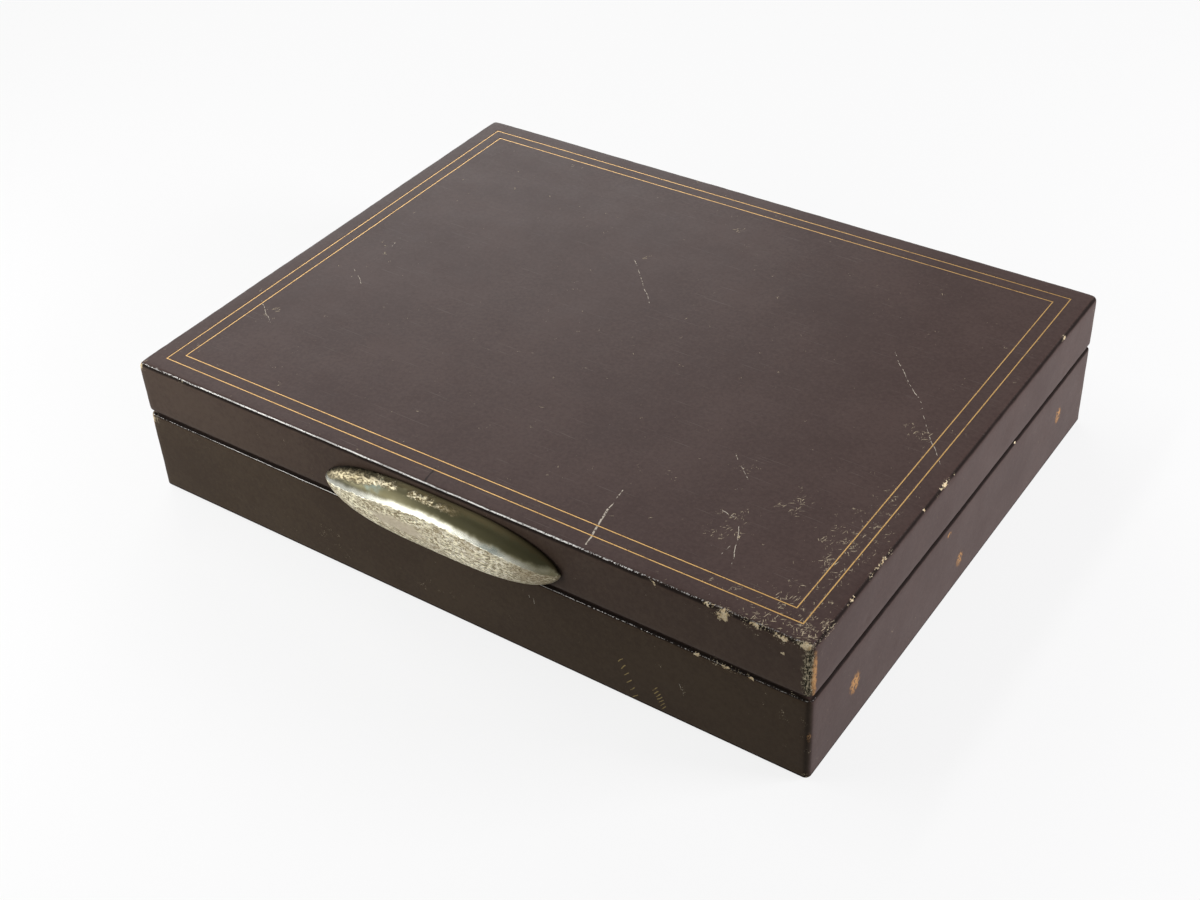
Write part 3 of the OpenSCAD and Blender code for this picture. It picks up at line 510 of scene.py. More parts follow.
class Paint:
    """A material or world made of nodes. Most methods add a node and give back what it works out."""

    def __init__(self, name, kind=bpy.data.materials):
        self.owner = kind.new(name)
        self.owner.use_nodes = True
        self.nodes, self.links = self.owner.node_tree.nodes, self.owner.node_tree.links

    @cached_property
    def place(self):
        """The place on the object, in millimetres."""
        return self.vector("MULTIPLY", self.node("ShaderNodeTexCoord", out="Object"), (1 / MM,) * 3)

    def put(self, socket, value):
        if isinstance(value, Value):
            self.links.new(value.socket, socket)
        elif socket.type == "RGBA":
            socket.default_value = (*value, 1)
        else:
            socket.default_value = value

    def node(self, kind, inputs=None, out=0, **settings):
        node = self.nodes.new(kind)
        for name, value in settings.items():
            setattr(node, name, value)
        for name, value in (inputs or {}).items():
            self.put(node.inputs[name], value)
        return Value(self, node.outputs[out])

    def finish(self, **inputs):
        """Sets the shader's inputs, such as base_color for Base Color, and gives back the material."""
        shader = self.nodes["Principled BSDF"]
        sockets = {socket.name.lower().replace(" ", "_"): socket for socket in shader.inputs}
        for name, value in inputs.items():
            self.put(sockets[name], value)
        return self.owner

    def noise(self, size, detail=3, roughness=0.5, at=None, distortion=0, out="Fac"):
        inputs = {"Vector": at or self.place, "Scale": 1 / size, "Detail": detail,
                  "Roughness": roughness, "Distortion": distortion}
        return self.node("ShaderNodeTexNoise", inputs, out)

    def cells(self, size, feature="F1", at=None):
        inputs = {"Vector": at or self.place, "Scale": 1 / size}
        return self.node("ShaderNodeTexVoronoi", inputs, feature=feature)

    def calc(self, operation, a, b=0.0, clamp=False):
        return self.node("ShaderNodeMath", {0: a, 1: b}, operation=operation, use_clamp=clamp)

    def vector(self, operation, a, b=(0, 0, 0), c=(0, 0, 0), out=0):
        return self.node("ShaderNodeVectorMath", {0: a, 1: b, 2: c}, out, operation=operation)

    def least(self, a, b):
        return self.calc("MINIMUM", a, b)

    def most(self, values):
        """The largest of several values, each compared as soon as it is made."""
        result = None
        for value in values:
            result = self.calc("MAXIMUM", result, value) if result else value
        return result

    def hypotenuse(self, a, b):
        return self.calc("SQRT", a * a + b * b)

    def uneven(self, amount, size, detail=3, roughness=0.5):
        """Noise on both sides of 0."""
        return (self.noise(size, detail, roughness) - 0.5) * amount

    def stretch(self, scale, turn=(0, 0, 0), shift=(0, 0, 0), at=None):
        inputs = {"Vector": at or self.place, "Location": shift, "Rotation": turn, "Scale": scale}
        return self.node("ShaderNodeMapping", inputs)

    def axes(self):
        split = self.node("ShaderNodeSeparateXYZ", {0: self.place}).socket.node
        return [Value(self, socket) for socket in split.outputs]

    def warped(self, amount, size):
        """The place, pushed about by noise, so that what is drawn there gets a ragged outline."""
        centred = self.vector("SUBTRACT", self.noise(size, out="Color"), (0.5, 0.5, 0.5))
        return self.vector("MULTIPLY_ADD", centred, (amount,) * 3, self.place)

    def length(self, vector):
        return self.vector("LENGTH", vector, out="Value")

    def spot(self, at, centre, radii, soft):
        """1 inside an ellipsoid and 0 outside."""
        scale = [1 / r for r in radii]
        shift = [-c * s for c, s in zip(centre, scale)]
        return self.length(self.vector("MULTIPLY_ADD", at, scale, shift)).step(1, 1 - soft)

    def streak(self, at, start, end, width):
        """1 along a straight scratch and 0 beside it."""
        run = np.subtract(end, start)
        from_start = self.vector("SUBTRACT", at, start)
        along = self.vector("DOT_PRODUCT", from_start, tuple(run / (run @ run)), out="Value")
        share = self.calc("MULTIPLY", along, 1.0, clamp=True)
        foot = self.node("ShaderNodeVectorMath", {0: tuple(run), "Scale": share}, operation="SCALE")
        return self.length(self.vector("SUBTRACT", from_start, foot)).step(width / 2, width / 5)

    def scratches(self, at, lines):
        """1 along bent scratches, each with its width and the places that it passes."""
        return self.most(self.streak(at, start, end, width) for width, *places in lines
                         for start, end in zip(places, places[1:]))

    def bump(self, height, distance, strength=1.0, normal=None):
        inputs = {"Height": height, "Distance": distance * MM, "Strength": strength}
        if normal:
            inputs["Normal"] = normal
        return self.node("ShaderNodeBump", inputs)

    def seen_rays(self):
        """1 for the rays that show the background: straight, mirrored and through glass."""
        names = ("Is Camera Ray", "Is Glossy Ray", "Is Transmission Ray")
        return self.most(self.node("ShaderNodeLightPath", out=name) for name in names)


# Two tones of each brown, the front ones painted light for how the light falls on the front, the colours of what
# wear lays bare, a painted shade black for the edges that gashes use too, and a painted highlight white
PLUM_BROWN = ((0.0465, 0.0285, 0.0252), (0.0632, 0.0405, 0.0355))
# The front browns are painted light: they stand in for how the light falls on the front faces.
LID_FRONT_BROWN_AS_LIT = ((0.0530, 0.0350, 0.0262), (0.0725, 0.0500, 0.0368))
BASE_FRONT_BROWN_AS_LIT = ((0.0396, 0.0255, 0.0156), (0.0540, 0.0368, 0.0224))
# Painted shade black for the rounded edges; the gash uses it too.
PAINTED_SHADE_AND_GASH_BLACK = (0.009, 0.006, 0.005)
BARED_BLACK = (0.022, 0.020, 0.011)
CREAM = (0.66, 0.56, 0.38)
TAN = (0.44, 0.30, 0.14)
ORANGE = (0.42, 0.175, 0.06)
# Painted highlight white for the front upper edges.
PAINTED_HIGHLIGHT_WHITE = (0.90, 0.88, 0.84)
DUST = (0.34, 0.31, 0.28)
SCRATCHED = (0.62, 0.56, 0.46)
SCUFFED = (0.66, 0.50, 0.20)


def scuffs(first, last, count):
    """Short slanting strokes under one another on the front of the base, each with its width and two ends."""
    return [(0.5, (x - 0.7, -124, z - 1.3), (x + 1.3, -124, z + 1.0))
            for x, z in np.linspace(first, last, count)]


# Marks of wear, with places and reaches on X, Y and Z. Cracked places have how thick the cracks lie there,
# stains how unbroken they are, and scratches, scuffs and gashes their width and the places that they pass.
LID_WEAR = {
    "cracked": [
        ((156, -120, 66), (66, 38, 8), 0.74), ((146, -70, 66), (20, 54, 8), 0.66),
        ((158, -124, 54), (5, 3, 20), 0.8),
        ((104, -84, 66), (15, 20, 6), 0.66), ((118, -62, 66), (14, 14, 6), 0.62),
        ((124, -125, 66), (13, 8, 5), 0.95), ((96, -125, 66), (6, 3, 3), 0.9),
        ((144, -124, 66), (18, 6, 4), 1.0),
        ((160, -20, 66), (4, 14, 3), 1.0), ((160, -72, 66), (4, 22, 3), 0.95),
        ((160, 88, 66), (4, 8, 3), 0.8),
        ((140, 0, 66), (15, 16, 4), 0.62), ((-138, -68, 66), (13, 11, 4), 0.5),
        ((-124, -8, 66), (10, 22, 4), 0.5), ((-97, 110, 66), (6, 14, 4), 0.5), ((2, 94, 66), (7, 6, 4), 0.6),
        ((-158, -122, 65), (6, 5, 4), 1.0), ((-133, -124, 66), (6, 3, 3), 0.8),
        ((91, -54, 66), (9, 9, 3), 0.6),
        ((160, 124, 54), (8, 8, 16), 0.8), ((-160, 124, 54), (8, 8, 16), 0.85),
        ((-160, 40, 58), (3, 30, 8), 0.6),
    ],
    "bared": [((158.6, -124.2, 53), (3.4, 2.6, 17)), ((157, -124, 65.5), (5, 3, 2))],
    "chips": [
        ((124.6, -124.4, 64.0), (5.2, 4.5, 5.6)), ((119, -123.8, 65.8), (5, 2.6, 1.8)),
        ((96, -124.3, 65.4), (4.6, 2.6, 2.6)), ((138, -124.2, 65.6), (6, 2.8, 2.6)),
        ((147, -124.2, 65.2), (8, 2.8, 3.2)), ((157, -123.8, 65.2), (4, 3.4, 3.2)),
        ((-159.4, -124, 64.4), (4.2, 3.4, 5.0)), ((148.5, -124, 58), (1.5, 1.5, 1.3)),
        ((159.8, -22, 65.8), (2.4, 11, 2.0)), ((159.8, -40, 65.8), (2.0, 5, 1.7)),
        ((159.8, -74, 65.8), (2.4, 12, 1.9)), ((159.8, 88, 65.8), (1.7, 3, 1.6)),
        ((159.8, -96, 65.8), (2.2, 5, 1.9)),
        ((159.4, 123.8, 58), (3.0, 3.0, 7)), ((-159.4, 123.8, 61), (3.0, 3.0, 5)),
        ((60, 124, 63.2), (7, 2.4, 1.5)),
    ],
    "stains": [((160.4, -122.2, 52), (2.0, 2.2, 15), 0.16), ((-159.8, -124, 63.6), (2.0, 2.0, 3.4), 0.12)],
    "scratches": [
        (0.6, (60, -88, 66), (62, -103.5, 66)), (1.1, (61.5, -100, 66), (65.5, -120, 66)),
        (0.4, (-27.5, 51, 66), (-14, 37, 66), (0, 22.5, 66)),
        (0.3, (105.5, 43, 66), (119.5, 27, 66), (129.5, 17.5, 66), (140, 2, 66), (155, -16.5, 66)),
        (0.4, (85, -48.5, 66), (91, -54, 66), (96.5, -59, 66)),
        (0.35, (97.5, -79, 66), (105.5, -80, 66), (110.5, -90, 66), (115.5, -102.5, 66)),
        (0.3, (109.5, -100.5, 66), (110, -92, 66)), (0.3, (-126.5, 2, 66), (-127.5, 9.5, 66)),
        (0.35, (-129, -21, 66), (-118, -29, 66)), (0.35, (-147, -62, 66), (-130, -74, 66)),
    ],
    "gashes": [(1.1, (-6.5, -125, 66), (-8, -114.5, 66))],
}
BASE_WEAR = {
    "cracked": [
        ((150, -124, 41), (45, 3, 3), 0.75), ((125, -124, 40), (18, 3, 3), 0.9),
        ((160, -124, 20), (5, 5, 24), 0.55),
        ((-157, -124, 38), (6, 4, 6), 1.0), ((160, -124, 1), (6, 6, 5), 0.9),
        ((-60, -124, 13), (14, 3, 14), 0.5),
        ((-10, -124, 12), (26, 3, 6), 0.45), ((148, -124, 27), (3, 3, 8), 0.7),
        ((108, -124, 19), (3, 3, 8), 0.7),
        ((160, 124, 18), (7, 7, 26), 0.75), ((-160, 124, 18), (7, 7, 26), 0.75),
        ((-160, -20, 5), (3, 70, 9), 0.55),
    ],
    "chips": [
        ((160, -124, 1), (4, 4, 3)), ((-159.2, -124, 38), (4.0, 3, 6)), ((114, -124, 39.4), (3.0, 2.0, 1.5)),
        ((126, -124, 39.4), (3.0, 2.0, 1.5)), ((136, -124, 39.6), (2.0, 1.8, 1.3)),
        ((159.8, 45, 40), (1.4, 2.6, 1.3)),
        ((159.6, 123.8, 1), (3.6, 3.6, 3.4)), ((-159.6, 123.8, 1), (4.4, 4.4, 3.6)),
        ((-70, 124, 0.8), (7, 2.4, 1.6)),
    ],
    "stains": [
        ((160, -90.5, 21), (1.4, 4.8, 5.8), 0.04), ((160, -2, 13.5), (1.2, 3.4, 4.6), -0.03),
        ((160, 93, 22.5), (1.2, 3.4, 4.8), -0.03), ((160, -124, 22), (1.8, 2.0, 3.4), 0.1),
        ((160, -15, 35.5), (1, 2.4, 1.6), -0.04), ((-159.6, -124, 36.6), (2.2, 2.2, 4.6), 0.08),
    ],
    "scuffs": scuffs((95.6, 12.4), (99.2, 4.3), 7) + scuffs((80.7, 19.2), (86.6, 4.0), 6),
    "scratches": [
        (0.35, (41, -124, 35), (42.5, -124, 28.5)), (0.3, (43, -124, 34.5), (43.5, -124, 30)),
        (0.25, (39.5, -124, 34), (40, -124, 30.5)), (0.18, (106, -124, 20.9), (109.4, -124, 13.8)),
        (0.3, (-62, 124, 31), (-49, 124, 24), (-33, 124, 21)), (0.25, (84, 124, 14), (101, 124, 19)),
        (0.3, (-160, 12, 28), (-160, 30, 22), (-160, 47, 21)), (0.25, (-160, -74, 12), (-160, -61, 17)),
    ],
}


def edge_places(paint, low_z, high_z):
    """How far a place lies from the sides, from the top, and from the level and the upright edges."""
    x, y, z = paint.axes()
    from_x = half_w / MM - abs(x)
    from_y = half_d / MM - abs(y)
    from_side = paint.least(from_x, from_y)
    from_top = high_z - z
    from_level = paint.least(from_top, z - low_z)
    return from_side, from_top, paint.hypotenuse(from_side, from_level), paint.hypotenuse(from_x, from_y)


def painted_highlight_line(paint, from_side, from_top, drop, line_w):
    """A painted highlight: a thin pale line along the upper edge, strongest in front, whole in its middle and
    beaded towards both corners.
    """
    x, y, z = paint.axes()
    line = abs(from_top - drop).step(line_w / 2, line_w / 4) * from_side.step(1.9, 1.4)
    facing = y.step(-119, -122).span(0.05, 1.0)
    whole = x.step(90, 30) * x.step(-156, -96)
    beads = paint.noise(0.55, 3, 0.6) + whole * 0.16
    gaps = paint.noise(14).step(0.36, 0.54).span(0.62, 1.0)
    fading = x.step(140, 60).span(0.45, 1.0)
    return line * facing * beads.step(0.50, 0.62) * gaps * fading


def crack_net(paint, cracked):
    """Short hair cracks in three directions and a tight net in the worst places, with specks of dust."""
    field = paint.most(paint.spot(paint.place, *patch[:2], 1.0) * patch[2] for patch in cracked)
    strength = paint.noise(4, 4, 0.65) * 0.8 + paint.noise(11, 2) * 0.2 + field * 0.27
    bent = paint.warped(1.3, 4)
    strokes = []
    for turn, length in ((0.5, 7), (1.35, 10), (2.2, 6)):
        inputs = {"Vector": bent, "Rotation": (0, 0, turn), "Scale": (length, 0.62, 0.62)}
        drawn = paint.node("ShaderNodeMapping", inputs, vector_type="TEXTURE")
        strokes.append(paint.cells(1, at=drawn).step(0.235, 0.12))
    strokes = paint.most(strokes) * strength.step(0.615, 0.705)
    net = paint.cells(2.0, "DISTANCE_TO_EDGE", paint.warped(1.1, 2.4)).step(0.040, 0.012)
    net = net * strength.step(0.72, 0.78) * paint.noise(1.6, 2).step(0.42, 0.52)
    dusty = paint.noise(9) + field * 0.3
    return paint.most([strokes, net]), paint.cells(2.6).step(0.070, 0.035) * dusty.step(0.61, 0.74)


def hair_scratches(paint, from_top):
    """Hair-thin scratches that cross the upper face."""
    hairs = []
    for turn, shift in ((0.5, 1.0), (-1.1, 4.0), (1.35, 7.0)):
        lengthened = paint.stretch((0.038, 1.5, 0.3), (0, 0, turn), (shift, 0, 0))
        hairs.append(paint.noise(1, 2, at=lengthened).step(0.70, 0.76))
    return paint.most(hairs) * from_top.step(0.7, 0.4) * 0.08


def leather(name, low_z, high_z, highlight_drop, highlight_w, front_brown_as_lit, wear):
    """Smooth dark calf: mottled and finely grained, with painted shade black along its edges, a painted highlight
    along its front upper edge and painted light on its front faces, cracked and chipped by use.
    """
    paint = Paint(name)
    x, y, z = paint.axes()
    tone = (paint.noise(38, 4, 0.6) * 0.45 + paint.noise(1.6, 5, 0.7) * 0.55).step(0.36, 0.64)
    # Painted light: the front faces take their own tones, standing in for how the light falls on the front.
    colour = y.step(-121.8, -123.4).mix(tone.mix(*PLUM_BROWN), tone.mix(*front_brown_as_lit))
    from_side, from_top, to_level, to_upright = edge_places(paint, low_z / MM, high_z / MM)
    # Painted shade: the rounded edges turn black, and the upright corners partly so, as if in shade.
    painted_edge_shade = to_level.step(1.8, 1.0)
    colour = (painted_edge_shade * 0.95).mix(colour, PAINTED_SHADE_AND_GASH_BLACK)
    colour = (to_upright.step(3, 1.2) * 0.4).mix(colour, PAINTED_SHADE_AND_GASH_BLACK)

    jagged = paint.warped(1.7, 2.2)
    ragged = paint.warped(2.2, 1.6)
    wavy = paint.warped(1.8, 6)
    crumble = paint.noise(0.8, 5, 0.75)
    cracks, specks = crack_net(paint, wear["cracked"])
    dust = paint.calc("ADD", specks * 0.45, hair_scratches(paint, from_top), clamp=True)
    colour = dust.mix(colour, DUST)
    # Painted highlight along the front upper edge.
    colour = painted_highlight_line(paint, from_side, from_top, highlight_drop, highlight_w).mix(colour, PAINTED_HIGHLIGHT_WHITE)
    if "bared" in wear:
        zone = paint.most(paint.spot(ragged, *patch, 0.5) for patch in wear["bared"])
        fibres = paint.noise(0.6, 5, 0.75, paint.stretch((1, 1, 0.4), at=jagged))
        colour = zone.mix(colour, fibres.step(0.47, 0.60).mix(BARED_BLACK, CREAM))
    knots = paint.cells(1.9, "DISTANCE_TO_EDGE", jagged).step(0.17, 0.09)

    def stain(centre, reach, solid):
        worn = paint.most([knots, crumble.step(0.56 - solid, 0.64 - solid)])
        return paint.spot(ragged, centre, reach, 0.6) * worn

    stained = paint.most(stain(*patch) for patch in wear["stains"])
    colour = (stained * 0.85).mix(colour, crumble.mix(ORANGE, TAN))
    if "scuffs" in wear:
        scuffed = paint.scratches(wavy, wear["scuffs"]) * paint.noise(3).span(0.1, 0.75)
        colour = scuffed.mix(colour, SCUFFED)
    colour = (cracks * paint.noise(3, 2).span(0.35, 0.95)).mix(colour, CREAM)
    scratched = paint.scratches(wavy, wear["scratches"]) * paint.noise(1.3).step(0.38, 0.52)
    colour = (scratched * 0.85).mix(colour, SCRATCHED)
    chipped = paint.most(paint.spot(ragged, *patch, 1.0) for patch in wear["chips"])
    eaten = chipped * 0.45 + paint.noise(1.5, 6, 0.8, jagged) * 1.15
    chipped = eaten.step(0.82, 0.86) * chipped.step(0.02, 0.08)
    colour = chipped.mix(colour, crumble.step(0.34, 0.60).mix(TAN, CREAM))
    if "gashes" in wear:
        colour = (paint.scratches(wavy, wear["gashes"]) * 0.8).mix(colour, PAINTED_SHADE_AND_GASH_BLACK)

    bare = paint.most([chipped, stained, cracks, scratched])
    grain = paint.cells(0.8) * 0.5 + paint.noise(0.35) * 0.5
    fine = paint.bump(grain * 0.3 - chipped * 0.9, 0.07, 0.6)
    uneven = paint.bump(paint.noise(5), 0.10, 0.5, fine)
    rough = painted_edge_shade.between(paint.noise(12).span(0.36, 0.46), 0.85)
    return paint.finish(base_color=colour, roughness=bare.between(rough, 0.85), normal=uneven,
                        specular_ior_level=0.055)


def gold(name):
    """Tooled gold leaf, dull in places and worn through to the leather here and there."""
    paint = Paint(name)
    worn = paint.most([paint.noise(5, 5, 0.7).step(0.56, 0.68) * 0.7, paint.noise(0.7).step(0.60, 0.7)])
    tone = paint.noise(12).mix((0.36, 0.20, 0.055), (0.52, 0.32, 0.11))
    return paint.finish(base_color=worn.mix(tone, (0.17, 0.09, 0.035)), metallic=0.6, roughness=0.42,
                        normal=paint.bump(paint.noise(0.5), 0.03, 0.6))


def silver(name):
    """Old plate: olive above its crest, partly tarnish and partly a painted dark reflection, rubbed bright along
    it, nearly black near both tips as a painted dark reflection, with a painted shadow along its upper rim, and
    pale, rough and pitted below it.
    """
    paint = Paint(name)
    low, high = box_mm("thumb_piece")
    middle_z, half_h = (low.z + high.z) / 2, (high.z - low.z) / 2
    x, y, z = paint.axes()
    share = abs(x * (1 / high.x))
    above = z - ((1.0 - share ** CREST_POWER) * (CREST_RISE / MM) + middle_z) + paint.uneven(1.8, 4, 4, 0.6)
    top_z = (1.0 - share ** END_POWER) ** (1 / EDGE_POWER) * half_h + middle_z
    from_rim = top_z - z + paint.uneven(3.0, 2.4, 5, 0.7)

    # Where it is rough: below the crest, and in patches along the upper rim, wider near the left tip
    under = above.step(0.6, 0.0)
    at_left = x.step(-22, -36)
    patchy = paint.most([at_left, paint.noise(9, 4, 0.6).step(0.42, 0.52)])
    rim = (from_rim - (at_left * 1.6 + 1.7)).step(0.5, -0.4) * patchy
    rim = rim * x.step(16, 2) * above.step(1.4, 2.4) * from_rim.step(0.1, 0.6)

    # Polished part: a bright crest, olive above it that is partly tarnish and partly a painted dark reflection,
    # and a painted dark reflection, nearly black, towards both tips
    drawn = paint.stretch((0.45, 1, 1))
    stain = paint.noise(9, 4, 0.6, drawn).step(0.40, 0.64)
    # The olive tones are partly tarnish and partly a painted dark reflection.
    smooth_tone = stain.mix((0.175, 0.165, 0.115), (0.110, 0.100, 0.060))
    crest_band = above.step(3.4, 0.8) * x.step(54, 30)
    smooth_tone = crest_band.mix(smooth_tone, (0.45, 0.45, 0.39))
    # Painted dark reflection: the smooth metal turns nearly black towards both tips.
    painted_dark_right_end = x.step(-34, 8) * above.step(1.6, 4.0)
    smooth_tone = (painted_dark_right_end * 0.95).mix(smooth_tone, (0.024, 0.022, 0.011))
    painted_dark_left_end = x.step(0, -30) * above.step(1.6, 3.2)
    smooth_tone = (painted_dark_left_end * 0.85).mix(smooth_tone, (0.040, 0.036, 0.018))
    clouded = paint.warped(6, 4)
    teal_patches = (((-27, -131, 61), (9, 8, 3)), ((30, -131, 55), (8, 8, 3)))
    teal = paint.most(paint.spot(clouded, *patch, 0.9) for patch in teal_patches)
    smooth_tone = (teal * 0.6).mix(smooth_tone, (0.075, 0.105, 0.100))

    # Rough part: pale, with fine hollows, brown clouds and a smoother worn patch
    hollow = paint.most([paint.noise(0.8, 5, 0.8, drawn).step(0.44, 0.56),
                         paint.cells(0.9, at=drawn).step(0.34, 0.14) * 0.7])
    rough_tone = hollow.mix((0.98, 0.92, 0.68), (0.20, 0.165, 0.090))
    worn_smooth = paint.spot(paint.warped(4, 5), (-14, -132, 49), (18, 9, 3.6), 0.5)
    bright = paint.noise(2.0, 5, 0.75).step(0.52, 0.62) * x.step(-14, 18) * x.step(44, 30)
    layers = [
        (paint.noise(3.6, 5, 0.7, drawn).step(0.40, 0.64) * 0.6, (0.30, 0.235, 0.14)),
        (paint.noise(1.2, 5, 0.8, drawn).step(0.56, 0.64) * 0.7, (0.98, 0.93, 0.78)),
        (x.step(20, 52) * 0.6, (0.15, 0.115, 0.06)),
        (bright * 0.85, (0.88, 0.83, 0.70)),
        (worn_smooth * 0.9, (0.50, 0.43, 0.31)),
    ]
    for part, tone in layers:
        rough_tone = part.mix(rough_tone, tone)

    # Rim patches: golden at the left, broken in the middle and brown towards the right
    sparkle = paint.noise(0.7, 5, 0.8, drawn) - x.step(-30, -14) * 0.06
    eaten = sparkle.step(0.41, 0.50)
    golden = paint.noise(5, 4).mix((0.40, 0.34, 0.20), (0.76, 0.70, 0.52))
    golden = (at_left * 0.72).mix(golden, (0.12, 0.095, 0.045))
    golden = (x.step(2, 14) * 0.85).mix(golden, (0.15, 0.085, 0.035))
    rim_tone = eaten.mix((0.085, 0.065, 0.030), golden)

    colour = rim.mix(under.mix(smooth_tone, rough_tone), rim_tone)
    # Painted contact shadow: darkened along the upper rim, where the plate meets the lid.
    painted_rim_shadow = from_rim.step(1.1, 0.3) * above.step(0.6, 1.6)
    colour = (painted_rim_shadow * 0.85).mix(colour, (0.030, 0.024, 0.012))
    rough = under.between(stain.span(0.21, 0.28), hollow.span(0.36, 0.60))
    rough = (painted_dark_right_end * (1.0 - under)).between(rough, 0.45)
    rough = rim.between(worn_smooth.between(rough, 0.32), 0.34)
    relief = paint.bump((1.0 - hollow) * under + eaten * rim, 0.18, 0.9)
    relief = paint.bump(paint.noise(1.5, 2), 0.008, 0.5, relief)
    return paint.finish(base_color=colour, metallic=under.between(1.0, 0.75), roughness=rough, normal=relief)


def wood(name, pale, dark):
    """Straight-grained softwood."""
    paint = Paint(name)
    grain = paint.noise(1, 5, at=paint.stretch((0.012, 0.26, 0.26)))
    fibres = paint.noise(1, 2, at=paint.stretch((0.06, 2.6, 2.6)))
    tone = grain * 0.7 + fibres * 0.3
    return paint.finish(base_color=tone.step(0.38, 0.62).mix(dark, pale), roughness=0.7,
                        normal=paint.bump(tone, 0.15, 0.5))


def suede(name, deep, light, nap=0.9):
    """Napped cloth: brushed this way and that, with a soft sheen."""
    paint = Paint(name)
    fibre = paint.noise(0.5, 4, 0.8)
    tone = paint.noise(26, 4, 0.6) * 0.6 + fibre * 0.4
    return paint.finish(base_color=tone.step(0.34, 0.66).mix(deep, light), roughness=0.95,
                        specular_ior_level=0.15, normal=paint.bump(fibre, 0.25, 0.7),
                        sheen_weight=nap * 0.4, sheen_roughness=0.5)


def metal(name, bright, dull, roughness=0.28):
    """Turned or pressed metal, dulled in patches."""
    paint = Paint(name)
    stain = paint.noise(4, 4, 0.6).step(0.4, 0.7)
    return paint.finish(base_color=stain.mix(bright, dull), metallic=1.0,
                        roughness=stain.between(roughness, roughness + 0.2),
                        normal=paint.bump(paint.noise(0.35), 0.02, 0.5))


def polished(name, colour, cloud):
    """Cast and polished plastic, with clouds in it."""
    paint = Paint(name)
    tone = paint.noise(16, 4, 0.6, distortion=1.2) * 0.6 + paint.noise(5, 5, 0.7).step(0.48, 0.66) * 0.4
    rubbed = paint.noise(0.9, 4, 0.7)
    return paint.finish(base_color=tone.step(0.3, 0.75).mix(colour, cloud), roughness=rubbed.span(0.16, 0.34),
                        normal=paint.bump(rubbed, 0.01, 0.4))


def tortoiseshell(name):
    """Amber plastic with dark brown patches."""
    paint = Paint(name)
    patches = paint.noise(12, 3, 0.6, distortion=1.6).step(0.46, 0.56)
    return paint.finish(base_color=patches.mix((0.48, 0.20, 0.035), (0.045, 0.013, 0.006)),
                        roughness=paint.noise(1.1).span(0.14, 0.26))


def card_back(name, node, ink):
    """White card with a printed lattice inside a plain border; the cards' edges stay white, with a painted shade
    once per card thickness, between the cards.
    """
    paint = Paint(name)
    low, high = box_mm(node)
    x, y, z = (axis - middle for axis, middle in zip(paint.axes(), (low + high) / 2))
    half_x, half_y, half_z = (high - low) / 2
    border, pitch, card_t = 4, 4.4, 0.327
    slanted = [(x + y * side).wave(pitch).step(0.62, 0.80) for side in (1, -1)]
    dots = (x.wave(pitch, "COSINE") * y.wave(pitch, "COSINE")).step(0.55, 0.75)
    inside = paint.least(half_x - border - abs(x), half_y - border - abs(y))
    rule = inside.step(-1.0, -0.9) * inside.step(-0.3, -0.5)
    field = inside.step(0.0, 0.12) * (1.0 - paint.most([*slanted, dots]) * 0.85)
    face = paint.most([field, rule]).mix((0.80, 0.77, 0.70), ink)
    # Painted shade: the edges darken once per card thickness, between the cards.
    edge_tone_with_painted_shade = z.wave(card_t).step(-0.6, 0.4).mix((0.42, 0.38, 0.31), (0.76, 0.73, 0.66))
    on_top = z.step(half_z - 0.1, half_z - 0.04)
    return paint.finish(base_color=on_top.mix(edge_tone_with_painted_shade, face), roughness=on_top.between(0.75, 0.38),
                        normal=paint.bump(paint.noise(0.8, 2), 0.015, 0.5))


def paper(name, node):
    """Uncoated paper, with ruled columns on the top sheet."""
    paint = Paint(name)
    low, high = box_mm(node)
    x, y, z = paint.axes()
    rule_pitch, column_pitch, head = 7, 32, 12
    fibre = paint.noise(1.2, 5, 0.7)
    colour = fibre.mix((0.74, 0.70, 0.60), (0.84, 0.81, 0.72))
    rules = (y - low.y).wave(rule_pitch, "COSINE").step(0.985, 0.995)
    columns = (x - low.x).wave(column_pitch, "COSINE").step(0.9992, 0.9997)
    on_top = z.step(high.z - 0.15, high.z - 0.05) * y.step(high.y - head, high.y - head - 0.2)
    colour = (rules * on_top * 0.75).mix(colour, (0.16, 0.22, 0.42))
    colour = (columns * on_top * 0.75).mix(colour, (0.50, 0.10, 0.08))
    return paint.finish(base_color=colour, roughness=0.88, normal=paint.bump(fibre, 0.04, 0.5))


def pencil_lacquer(name):
    """Dark green lacquer, with bare wood and lead where it is sharpened."""
    paint = Paint(name)
    x, y, z = paint.axes()
    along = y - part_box("pencil")[0].y / MM + paint.uneven(0.8, 1.5)
    bare = along.step(12.1, 11.9)
    fibres = paint.noise(1, 2, at=paint.stretch((2.6, 0.09, 2.6)))
    colour = bare.mix((0.012, 0.045, 0.024), fibres.mix((0.50, 0.28, 0.13), (0.66, 0.42, 0.22)))
    colour = along.step(3.3, 3.1).mix(colour, (0.035, 0.035, 0.04))
    return paint.finish(base_color=colour, roughness=bare.between(0.2, 0.6))


def plain_leather(name, deep, light):
    """Thin book leather on the score pad's board."""
    paint = Paint(name)
    return paint.finish(base_color=paint.noise(9, 4).mix(deep, light), roughness=0.5,
                        normal=paint.bump(paint.cells(1.1), 0.08, 0.6))


# Interior pieces

